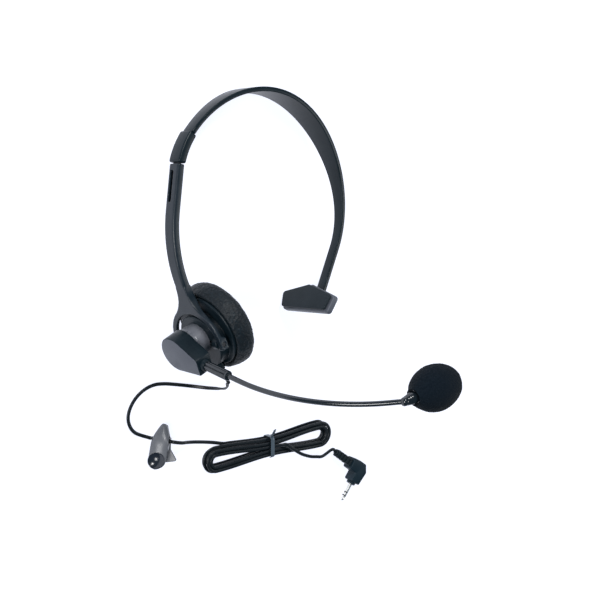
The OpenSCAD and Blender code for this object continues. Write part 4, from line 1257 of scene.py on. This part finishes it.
    def microphone(self) -> None:
        """Model the ridged barrel and the egg-shaped foam that is pulled over it."""
        place, r = self.mic_place(), self.mic_r
        ridges = [
            (0, -2.2), (1.2, -2.1), (2.0, -1.4), (2.25, -0.4), (2.1, 0.4), (2.4, 0.8), (2.5, 1.3), (2.3, 1.5),
            (2.55, 1.9), (2.7, 2.4), (2.5, 2.6), (2.8, 3.0), (r - 0.05, 3.6), (r - 0.05, 6.9), (0, 6.9),
        ]
        barrel = Bench.turned("mic_neck", ridges)
        settle(barrel, Body.BOOM, HUB, "mic_barrel", place=place)
        wide, mouth, bore = self.screen_wide, r + 1.7, r + 0.1
        rear = [
            (max(mouth, self.screen_r * (1 - ((wide - t) / wide) ** 1.9) ** 0.55), self.screen_len * t)
            for t in (mix(0.04, wide, i / 10) for i in range(11))
        ]
        front = [
            (self.screen_r * math.cos(a), self.screen_len * (wide + (1 - wide) * math.sin(a)))
            for a in (math.radians(7.5 * i) for i in range(1, 13))
        ]
        depth = self.mic_len - self.screen_from + 0.2
        hole = [
            (0, depth), (bore, depth), (bore, 0.6 * depth), (bore + 0.2, 0.4 * depth),
            (bore + 0.9, 0.15 * depth), (mouth - 0.3, 0.05),
        ]
        foam = Bench.turned("foam_windscreen", hole + rear + front, 80)
        Bench.dapple(Bench.swell(foam, 2), *self.foam_relief)
        place = place.moved(0, 0, self.screen_from)
        settle(foam, Body.BOOM, SCREEN_FOAM, "windscreen", place=place, smooth=80)


@dataclass
class TempleRest:
    """Bar that rests above the other ear: a hinged shell with a soft pad."""

    layout: Layout
    width: float = 41.2
    foot: float = 36.8
    height: float = 15.8
    peak: float = 5.8
    top: float = -4.2
    back_z: float = -3.8
    shell_t: float = 3.8
    shell_edge: float = 0.8
    pad_t: float = 2.4
    pad_edge: float = 0.45
    inset: float = 0.9
    groove: Flat = (1.3, 0.9)
    ear_from: float = 3.4
    ear_w: float = 3
    ear_r: float = 2.3
    ear_edge: float = 0.3
    pin_r: float = 0.82
    pin_len: float = 40
    crown: tuple[Flat, ...] = ((0.7, 0.25), (2.2, 0.2), (3.2, 0.12))

    def outline(self, inset: float, radius: float) -> list[Flat]:
        """Five-sided outline, drawn in and rounded.

        Args:
            inset: Distance by which it is drawn in.
            radius: Radius of its corners.

        Returns:
            Points of the outline.
        """
        w, f, t = self.width / 2 - inset, self.foot / 2 - inset, self.top
        low, shoulder = t + self.height - inset, t + self.peak + 0.4 * inset
        return rounded([(0, t + inset), (w, shoulder), (f, low), (-f, low), (-w, shoulder)], radius)

    def build(self) -> None:
        """Model the shell with its hinge ears, and the pad."""
        split = self.back_z - self.shell_t
        shell = Bench.plate("temple_moulding", self.outline(0, 2), split, self.back_z)
        Bench.round_edges(shell, self.shell_edge, 4)
        ears = []
        for side in (-1, 1):
            middle = side * (self.ear_from + self.ear_w / 2)
            at_ear = LOCAL.moved(middle, 0, 0).along_x()
            ears.append(Bench.rod("hinge_ear", self.ear_r, self.ear_w, at_ear, self.ear_edge))
            size = (self.ear_w - 0.1, 2 * self.ear_r - 0.1, 1 - self.back_z)
            web = Bench.bar("ear_web", size, (middle, 0, (self.back_z - 1) / 2))
            ears.append(Bench.round_edges(web, 0.25, 2))
        Bench.combine(shell, ears, "UNION")
        pin = Bench.rod("pin_cut", self.pin_r, self.pin_len, LOCAL.along_x())
        Bench.combine(shell, (pin,), "DIFFERENCE")
        settle(shell, Body.TEMPLE, SATIN, "temple_shell", place=self.layout.temple, smooth=35)
        self.pad(split)

    def pad(self, split: float) -> None:
        """Model the soft pad with a crowned face and a shadow groove against the shell.

        Args:
            split: Height at which the pad meets the shell.
        """
        deep, high = self.groove
        pad = Bench.plate("temple_cushion", self.outline(self.inset + deep, 1.2), split - high, split - 0.02)
        face = Bench.plate("pad_face", self.outline(self.inset, 1.8), split - self.pad_t, split - high + 0.05)
        Bench.edit(face)
        mesh = bmesh.from_edit_mesh(face.data)
        bpy.ops.mesh.select_all(action="DESELECT")
        for item in mesh.faces:
            item.select_set(item.normal.z < -0.9)
        bmesh.update_edit_mesh(face.data)
        for depth, rise in self.crown:
            bpy.ops.mesh.inset(thickness=depth * MM, depth=rise * MM * 0.5)
        Bench.round_edges(Bench.done(face), self.pad_edge)
        Bench.combine(pad, (face,), "UNION")
        settle(pad, Body.TEMPLE, RUBBER, "temple_pad", place=self.layout.temple, smooth=50)


@dataclass
class Clip:
    """Sprung clothing clip: crowned lever with a polished thumb dish, over a plain jaw."""

    layout: Layout
    voxel: float = 0.18
    passes: int = 6
    half: float = 4.9
    tail_r: float = 4.85
    nose: float = 12.2
    tail: float = 11.6
    roof: float = 9.1
    under: float = 7.6
    rise: float = 2.2
    skirt: float = 0.9
    rest_z: float = 1.9
    hinge_h: float = 5.2
    knuckle: Flat = (2, 5.4)
    pin_r: float = 0.86
    pin_len: float = 30
    bowl_r: float = 4.1
    bowl_deep: float = 1.5
    bowl_top: float = 6

    def section(self, y: float) -> tuple[float, float, float]:
        """Measure the lever at a place along it.

        Args:
            y: Distance from the hinge towards the nose.

        Returns:
            Half width, underside and roof.
        """
        t = (self.nose - y) / self.nose
        if t < 1:
            swell = math.sin(math.pi / 2 * t)
            under = mix(self.rest_z + 0.1, self.under, ease(1.5 * (t - 0.12)))
            return mix(0.8, self.half, swell**0.75), under, mix(self.rest_z + 1.7, self.roof, swell**0.9)
        lift = self.rise * (1 - math.cos(math.pi / 2 * min(1.0, -y / (self.tail - 2))))
        round_y = self.tail_r - self.tail
        half = mix(self.half, self.tail_r, ease(y / round_y))
        if y < round_y:
            half = math.sqrt(max(0.05, self.tail_r**2 - (round_y - y) ** 2))
        return half, self.under + 0.6 * lift, self.roof + lift

    def build(self) -> None:
        """Model the jaw, the lever and the dish."""
        jaw = Bench.soften("clip_base", "clip_jaw_plate", self.voxel, self.passes)
        settle(jaw, Body.EAR_CUP, GRIP, "clip_base", smooth=60)
        self.lever()
        self.dish()

    def ring(self, y: float, sides: int = 20) -> list[Spot]:
        """Draw the lever's section at a place along it.

        Args:
            y: Distance from the hinge towards the nose.
            sides: Steps of the arch.

        Returns:
            Points round the section.
        """
        half, under, roof = self.section(y)
        skirt = under - self.skirt * ease(1.5 * ((self.nose - y) / self.nose - 0.3))
        arch = [
            (half * math.cos(a), skirt + 0.2 + (roof + 0.4 - skirt - 0.2) * math.sin(a) ** 0.8)
            for a in (math.pi * k / sides for k in range(sides + 1))
        ]
        foot, edge = 0.8 * half, 0.96 * half
        ring = [(foot, under), (edge, skirt), *arch, (-edge, skirt), (-foot, under)]
        return [(x, y, z) for x, z in ring]

    def lever(self, count: int = 24) -> None:
        """Loft the crowned lever section by section, and add its hinge knuckle.

        Args:
            count: Steps along the lever.
        """
        stations = [mix(self.nose, -self.tail + 0.03, i / count) for i in range(count + 1)]
        lever = Bench.swell(Bench.skin("clip_moulding", [self.ring(y) for y in stations]), 1)
        at_hinge = LOCAL.moved(0, 0, self.hinge_h).along_x()
        knuckle = Bench.rod("lever_knuckle", *self.knuckle, at_hinge, 0.2)
        web = Bench.bar("knuckle_web", (5.2, 2.8, 3.4), (0, 0, self.hinge_h + 1.7))
        Bench.combine(lever, (knuckle, web), "UNION")
        bowl = Bench.turned("bowl_cut", [*self.bowl(), (self.bowl_r, self.bowl_top), (0, self.bowl_top)])
        Bench.lay(bowl, self.bowl_place(LOCAL))
        pin = Bench.rod("pin_cut", self.pin_r, self.pin_len, at_hinge)
        Bench.combine(lever, (pin, bowl), "DIFFERENCE")
        settle(lever, Body.CLIP, GRIP, "clip_lever", place=self.layout.clip)

    def bowl(self, lift: float = 0) -> list[Flat]:
        """Profile of the thumb dish, from its middle to its rim."""
        return [(self.bowl_r * t, lift - self.bowl_deep * (1 - t * t)) for t in (i / 10 for i in range(11))]

    def bowl_place(self, place: Place) -> Place:
        """Find the mouth of the thumb dish, tipped with the lever's tail.

        Args:
            place: Frame of the clip.

        Returns:
            Frame in the mouth, with z out of it.
        """
        at = place.moved(0, self.tail_r - self.tail, self.roof + 0.72 * self.rise)
        a = math.atan2(self.rise, self.tail - 2)
        c, s = math.cos(a), math.sin(a)
        return Place(at.origin, at.x, c * at.y - s * at.z, c * at.z + s * at.y)

    def dish(self) -> None:
        """Model the polished bowl let into the lever's tail."""
        curve, r = self.bowl(0.02), self.bowl_r
        rim = [(r + 0.12, 0.12), (r + 0.3, 0.15), (r + 0.4, 0.0), (r + 0.3, -0.2)]
        below = [(max(0.0, x - 0.02), z - 0.25) for x, z in reversed(curve)]
        dish = Bench.turned("thumb_dish", [*curve, *rim, *below], 72)
        settle(dish, Body.CLIP, POLISHED, place=self.bowl_place(self.layout.clip), smooth=60)


@dataclass
class Plug:
    """Right-angled plug with a ribbed boot."""

    layout: Layout
    thickness: float = 7.2
    half: float = 3.6
    edge: float = 0.6
    neck: float = 9.5
    foot: float = 9
    boot_len: float = 14.5
    ribs: int = 5
    rib_r: float = 2.35
    rib_taper: float = 0.04
    rib_share: float = 0.62
    cord_r: float = 0.85
    jack_r: float = 1.25

    def build(self) -> None:
        """Model the moulding and its boot."""
        s, h, r = self.half, self.thickness / 2, self.jack_r
        corners = [
            (self.neck, -s), (self.neck, s), (s, s), (s, self.foot), (-s, self.foot), (-s - 1, 0),
            (-s + 2.5, -s - 0.6), (4, -s - 0.6),
        ]
        body = Bench.plate("plug_moulding", rounded(corners, 0.8), -h, h)
        Bench.round_edges(body, self.edge, 4)
        collar = [(0, -1), (r + 1.5, -1), (r + 1.5, 1.2), (r + 1.2, 1.5), (0, 1.5)]
        skirt = Bench.turned("plug_skirt", collar, 48)
        Bench.combine(body, (Bench.lay(skirt, LOCAL.moved(0, self.foot, 0).along_y()),), "UNION")
        settle(body, Body.EAR_CUP, MOULDING, "plug_body", place=self.layout.plug, smooth=35)
        self.boot()

    def boot(self) -> None:
        """Model the flexible boot: square-shouldered ribs on a slim core."""
        core, end, pitch = self.cord_r + 0.8, self.boot_len, self.boot_len / self.ribs
        profile = [(0, 0), (core, 0), (core, end - 0.2), (core - 0.2, end), (0, end)]
        boot = Bench.turned("cord_boot", profile, 40)
        for i in range(self.ribs):
            r, low = self.rib_r - self.rib_taper * i, i * pitch
            outline = rounded([(-r, -r), (r, -r), (r, r), (-r, r)], 0.9)
            rib = Bench.plate("boot_rib", outline, low + 0.02, low + self.rib_share * pitch)
            Bench.combine(boot, (Bench.round_edges(rib, 0.25),), "UNION")
        place = self.layout.plug.moved(self.neck, 0, 0).along_x()
        settle(boot, Body.EAR_CUP, RUBBER, "plug_boot", place=place)


@dataclass
class Cord:
    """Flat twin lead from the ear cup, through the clip and the tied hank, to the plug."""

    layout: Layout
    width: float = 2.0
    thick: float = 1.2
    cad_d: float = 1.7
    lie: float = 0.9
    middle: Flat = (29.1, 50.9)
    length: float = 1.364
    hank_at: Flat = (57.8, -76.3)
    hank_turn: float = 5
    hank_loops: int = 6
    hank_layers: int = 3
    hank_half: float = 38
    hank_lobe: float = 7.4
    hank_step: float = 2.2
    loop_steps: int = 24
    tie_t: float = 0.7
    tie_w: float = 2.6
    tie_sheet: float = 0.4
    tie_wire: float = 0.36
    tie_twist: float = 0.45
    lift_way: Spot = (0, 0.1, 0.35)
    level_slope: float = 0.3
    lead: tuple[Spot, ...] = (
        (5.5, -28.8, 29.2), (8.3, -31.3, 26), (10.2, -33.5, 22), (10.5, -34.8, 17.5), (9.7, -35.6, 12.8),
        (7.7, -36.1, 8.6), (4.8, -36.1, 5.2), (1, -35.8, 2.6), (-3.7, -35.2, 1.2), (-8.9, -34.4, 0.9),
        (-15, -33.6, 0.9), (-21, -33.6, 0.9), (-26.4, -35.2, 0.9), (-31.4, -38.6, 0.9), (-35, -43.4, 0.9),
        (-36.7, -49, 0.9), (-35.6, -54.4, 0.9), (-31.9, -58.8, 1.3),
    )
    run: tuple[Spot, ...] = (
        (-6.5, -65.4, 8.2), (-1, -66.6, 5), (5, -67.8, 2.2), (12, -68.9, 0.9), (20, -70.1, 0.9),
    )
    tail: tuple[Spot, ...] = (
        (66.5, -74.6, 9.2), (70.5, -77.2, 9.6), (74.6, -79.6, 9.3), (79, -81.9, 8.6), (83.8, -83.8, 7.2),
        (89, -85.5, 5.7), (94.5, -86.6, 4.4), (100, -87.1, 3.6),
    )
    clip_x: tuple[float, ...] = (-7.1, -5.1, 0, 5.1, 7.1)
    clip_yz: Flat = (3.2, 2.9)

    @property
    def waist_step(self) -> float:
        """Distance between strands at the tied waist."""
        return self.hank_step + 0.05

    @property
    def waist(self) -> float:
        """Distance of the outermost strand from the middle of the waist."""
        return (self.hank_step + (2 * self.hank_loops / self.hank_layers - 0.5) * self.waist_step) / 2 + 0.1

    def on_floor(self, p: Sequence[float]) -> Vector:
        """Point of the object's frame for a route point, in metres."""
        return MM * Vector((p[0] - self.middle[0], p[1] - self.middle[1], p[2]))

    def hank_point(self, i: float) -> Vector:
        """Follow the hank's loops, layer by layer.

        Args:
            i: Steps from the middle of the first run.

        Returns:
            Point of the object's frame, in metres.
        """
        per_layer = self.hank_loops / self.hank_layers
        t, last = i / self.loop_steps, self.hank_layers - 1
        layer = max(0, min(last, math.floor(t / per_layer)))
        track = t - layer * per_layer
        track = track if layer % 2 == 0 else per_layer - track
        change = max(1, min(last, math.floor(t / per_layer + 0.5)))
        level = change - 1 + ease(0.5 + 2 * (t - change * per_layer))
        r, w = self.hank_lobe - self.hank_step * track, self.waist - self.waist_step * track
        k = 8 * i / self.loop_steps % 8
        if 1 <= k <= 3:
            x, y = polar(r, 90 - 90 * (k - 1), (self.hank_half, 0))
        elif 5 <= k <= 7:
            x, y = polar(r, -90 - 90 * (k - 5), (-self.hank_half, 0))
        else:
            u = k if k < 1 else k - 8 if k > 7 else 4 - k
            x, y = self.hank_half * u, (-1 if 3 < k < 5 else 1) * mix(w, r, ease(abs(u)))
        lift = self.tie_t * (1 - ease(abs(x) / self.hank_half))
        c, s = polar(1, self.hank_turn)
        at_x, at_y = self.hank_at
        z = self.lie + lift + self.hank_step * level
        return self.on_floor((at_x + x * c - y * s, at_y + x * s + y * c, z))

    @staticmethod
    def smooth(points: Sequence[Vector], steps: int) -> list[Vector]:
        """Draw a smooth curve through points.

        Args:
            points: Points that it passes through.
            steps: Steps between each two of them.

        Returns:
            Points of the curve.
        """
        made, last = [], len(points) - 1
        for i in range(last):
            a, b, c, d = (points[max(0, min(last, i + k))] for k in (-1, 0, 1, 2))
            for k in range(steps):
                t = k / steps
                cubic = (3 * b - a - 3 * c + d) * t**3
                made.append(0.5 * (2 * b + (c - a) * t + (2 * a - 5 * b + 4 * c - d) * t * t + cubic))
        return [*made, points[last]]

    def route(self, bush: tuple[Vector, Vector], boot: tuple[Vector, Vector]) -> list[Vector]:
        """Lay out the whole centreline of the cord.

        Args:
            bush: Tip of the strain relief and the way the cord leaves it.
            boot: Tip of the plug's boot and the way the cord leaves it.

        Returns:
            Points from the ear cup to the plug.
        """
        end, d = self.hank_loops * self.loop_steps, self.cad_d * MM
        into, out = ((self.hank_point(i + 1) - self.hank_point(i)).normalized() for i in (-2, end - 1))
        lifted = (out + Vector(self.lift_way)).normalized()
        hank = [self.hank_point(i / 4) for i in range(-8, 4 * end + 1)]
        hank = [hank[0] - d * into, *hank, hank[-1] + d * out, hank[-1] + d * out + d * lifted]
        clip = [self.layout.clip.at(x, *self.clip_yz) for x in self.clip_x]
        lead, run, tail = (list(map(self.on_floor, points)) for points in (self.lead, self.run, self.tail))
        lead = [bush[0], bush[0] + 2 * d * bush[1], *lead, *clip, *run, hank[0] - 2 * d * into, hank[0]]
        tail = [hank[-1], hank[-1] + 2 * d * lifted, *tail, boot[0] + 2 * d * boot[1], boot[0]]
        return [*self.smooth(lead, 8)[:-1], *hank[:-1], *self.smooth(tail, 8)]

    def flats(self, tangents: Sequence[Vector]) -> list[Vector]:
        """Find the way across the flat lead, level wherever it lies down.

        Args:
            tangents: Direction of the cord at each of its points.

        Returns:
            The way across it at each of them.
        """
        first = next(i for i, t in enumerate(tangents) if abs(t.z) < self.level_slope)
        wides = [t.cross(LOCAL.z).normalized() for t in tangents]
        for i in range(first - 1, -1, -1):
            wides[i] = (wides[i + 1] - wides[i + 1].dot(tangents[i]) * tangents[i]).normalized()
        return wides

    def build(self, boot: tuple[Vector, Vector], cup: EarCup, with_pieces: Sequence[str]) -> None:
        """Model the twin lead.

        Args:
            boot: Tip of the plug's boot and the way the cord leaves it.
            cup: Ear cup that the cord leaves.
            with_pieces: Names of the pieces on the cord. Not used.
        """
        way = cup.cord_way()
        bush_tip = way.at(0, cup.bush_reach + cup.bush_len, 0)
        path = self.route((bush_tip, way.y), boot)
        tangents = headings(path)
        rings = []
        for p, t, wide in zip(path, tangents, self.flats(tangents)):
            tall = wide.cross(t)
            rings.append([(p + MM * (x * wide + z * tall)) / MM for x, z in self.section()])
        lead = Bench.skin("twin_lead", rings)
        settle(lead, Body.EAR_CUP, JACKET, "cord_lead", "cord_hank", "cord_tail", smooth=60)

    def section(self) -> list[Flat]:
        """Draw two round leads side by side, with a groove between them.

        Returns:
            Points round the section.
        """
        r = self.thick / 2
        right = arc((self.width / 2 - r, 0), r, -110, 110, 7)
        return [*right, *((-x, -y) for x, y in right)]

    def tie(self) -> None:
        """Model the ribbon tie round the waist of the hank, with two twisted ends."""
        t, room = self.tie_t, self.cad_d / 2 + 0.3
        high = self.lie + t + self.hank_step * (self.hank_layers - 1) + room + t / 2
        left, right = -(self.waist - self.waist_step / 2) - room - t / 2, self.waist + room + t / 2
        loop = rounded([(left, t / 2), (right, t / 2), (right, high), (left, high)], 1.5, 8)
        ribbon = Bench.chain("waist_tie", [(-self.tie_w / 2, y, z) for y, z in loop])
        for _ in range(2):
            Bench.extrude((self.tie_w * MM / 2, 0, 0))
        Bench.modify(Bench.done(ribbon), "SOLIDIFY", thickness=self.tie_sheet * MM, offset=0)
        Bench.round_edges(ribbon, 0.12, 2)
        for side in (0, 180):
            twist = []
            for k in range(9):
                x, z = polar(self.tie_twist, side + 90 * k, (0, high - t / 2 - 0.6 + 0.4 * k))
                twist.append(Vector((x, right + 0.15 + 0.62 * k, z)))
            end = Bench.tube("tie_end", self.smooth(twist, 4), self.tie_wire, 10)
            Bench.combine(ribbon, (end,), "UNION")
        x, y = (a - b for a, b in zip(self.hank_at, self.middle))
        settle(ribbon, Body.EAR_CUP, TIE, "hank_tie", place=LOCAL.moved(x, y, 0).turned(self.hank_turn))


@dataclass
class Studio:
    """Pale floor, soft light and the camera."""

    layout: Layout
    azimuth: float = -42
    elevation: float = 4
    distance: float = 700
    target: Flat = (29, -52)
    lens: float = 75.6
    sensor: float = 36
    near: float = 0.01
    floor_size: float = 6
    floor_grey: float = 0.3
    floor_rough: float = 0.9
    floor_glow: Colour = (0.9, 0.93, 1.06)
    floor_power: float = 0.95
    sky: Colour = (0.45, 0.75, 1.0)
    sky_power: float = 0.12
    lamps: tuple[tuple[str, Spot, float, float], ...] = (
        ("front", (-0.95, -0.1, 0.75), 0.5, 9.0),
        ("top", (-0.2, 0.75, 0.8), 0.3, 7.0),
        ("side", (0.85, 0.0, 0.75), 0.3, 2.4),
    )

    def build(self) -> None:
        """Make the floor, the lights and the camera."""
        self.floor()
        for name, at, size, power in self.lamps:
            self.lamp(name, at, size, power)
        world = bpy.data.worlds.new("studio")
        bpy.context.scene.world = world
        world.use_nodes = True
        sky = world.node_tree.nodes["Background"].inputs
        sky["Color"].default_value = (*self.sky, 1)
        sky["Strength"].default_value = self.sky_power
        bpy.context.scene.view_settings.view_transform = "Standard"
        self.camera()

    def floor(self) -> None:
        """Lay the plain white sweep that the object lies on."""
        Bench.pick()
        bpy.ops.mesh.primitive_grid_add(x_subdivisions=4, y_subdivisions=4, size=self.floor_size)
        floor = Bench.named("floor")
        white = bpy.data.materials.new("white_sweep")
        white.use_nodes = True
        sockets = white.node_tree.nodes["Principled BSDF"].inputs
        sockets["Base Color"].default_value = (*3 * (self.floor_grey,), 1)
        sockets["Roughness"].default_value = self.floor_rough
        sockets["Emission Color"].default_value = (*self.floor_glow, 1)
        sockets["Emission Strength"].default_value = self.floor_power
        floor.data.materials.append(white)
        floor.visible_diffuse = False

    @staticmethod
    def lamp(name: str, at: Spot, size: float, power: float) -> None:
        """Add a soft square light that faces the object.

        Args:
            name: Name of the light.
            at: Its place, in metres.
            size: Its side, in metres.
            power: Its power, in watts.
        """
        Bench.pick()
        bpy.ops.object.light_add(type="AREA", location=at)
        lamp = Bench.named(name)
        lamp.data.energy, lamp.data.size = power, size
        lamp.rotation_euler = Vector(at).to_track_quat("Z", "Y").to_euler()

    def camera(self) -> None:
        """Set the camera at the viewing angle, given round the headset's own upright axes."""
        head = self.layout.headset
        (ca, sa), (ce, se) = polar(1, self.azimuth), polar(1, self.elevation)
        back = sa * ce * head.x - ca * ce * head.y + se * head.z
        right = ca * head.x + sa * head.y
        eye = head.at(self.target[0], 0, self.target[1]) + self.distance * MM * back
        Bench.pick()
        bpy.ops.object.camera_add()
        camera = bpy.context.object
        camera.matrix_world = Place(eye, right, back.cross(right), back).matrix()
        camera.data.lens, camera.data.sensor_width = self.lens, self.sensor
        camera.data.clip_start = self.near
        bpy.context.scene.camera = camera


@dataclass
class Inside:
    """Pieces of the frame that keep their own shape, listed by finish."""

    finishes: dict[Finish, tuple[str, ...]] = field(
        default_factory=lambda: {
            BLACK: ("baffle_plate", "driver_frame", "plug_insulators"),
            RUBBER: ("driver_cone",),
            DARK_STEEL: ("size_tongue", "sleeve_rivet", "pivot_pins"),
            STEEL: (
                "temple_pin", "baffle_screws", "driver_magnet", "pod_screws", "spindle_ring", "mic_capsule",
                "clip_pin", "clip_leaf",
            ),
            NICKEL: ("plug_sleeve", "plug_ring", "plug_tip"),
        }
    )

    def dress(self, nodes: dict[str, Piece]) -> None:
        """Give each piece its finish.

        Args:
            nodes: Nodes of the frame, by name.
        """
        for finish, names in self.finishes.items():
            for name in names:
                finish.dress(nodes[name])
                LOG.info("node %s is dressed in %s", name, finish.name)


def main() -> None:
    """Build the looks round the frame, in order."""
    logging.basicConfig(level=logging.INFO, format="%(name)s: %(message)s")
    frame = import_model()
    layout = Layout.read(frame["record"])
    cup, plug, cord = EarCup(layout), Plug(layout), Cord(layout)
    stages: tuple[Callable[[], None], ...] = (
        Studio(layout).build, Headband(layout).build, Yoke().build, cup.build, Boom(layout).build,
        TempleRest(layout).build, Clip(layout).build, plug.build, cord.tie,
    )
    for stage in stages:
        stage()
    boot_tip = layout.plug.at(plug.neck + plug.boot_len, 0, 0)
    on_cord = (
        "plug_moulding", "cord_boot", "plug_sleeve", "plug_ring", "plug_tip", "plug_insulators", "waist_tie",
        "clip_jaw_plate",
    )
    cord.build((boot_tip, layout.plug.x), cup, on_cord)
    Inside().dress(frame["nodes"])


if __name__ == "__main__":
    main()
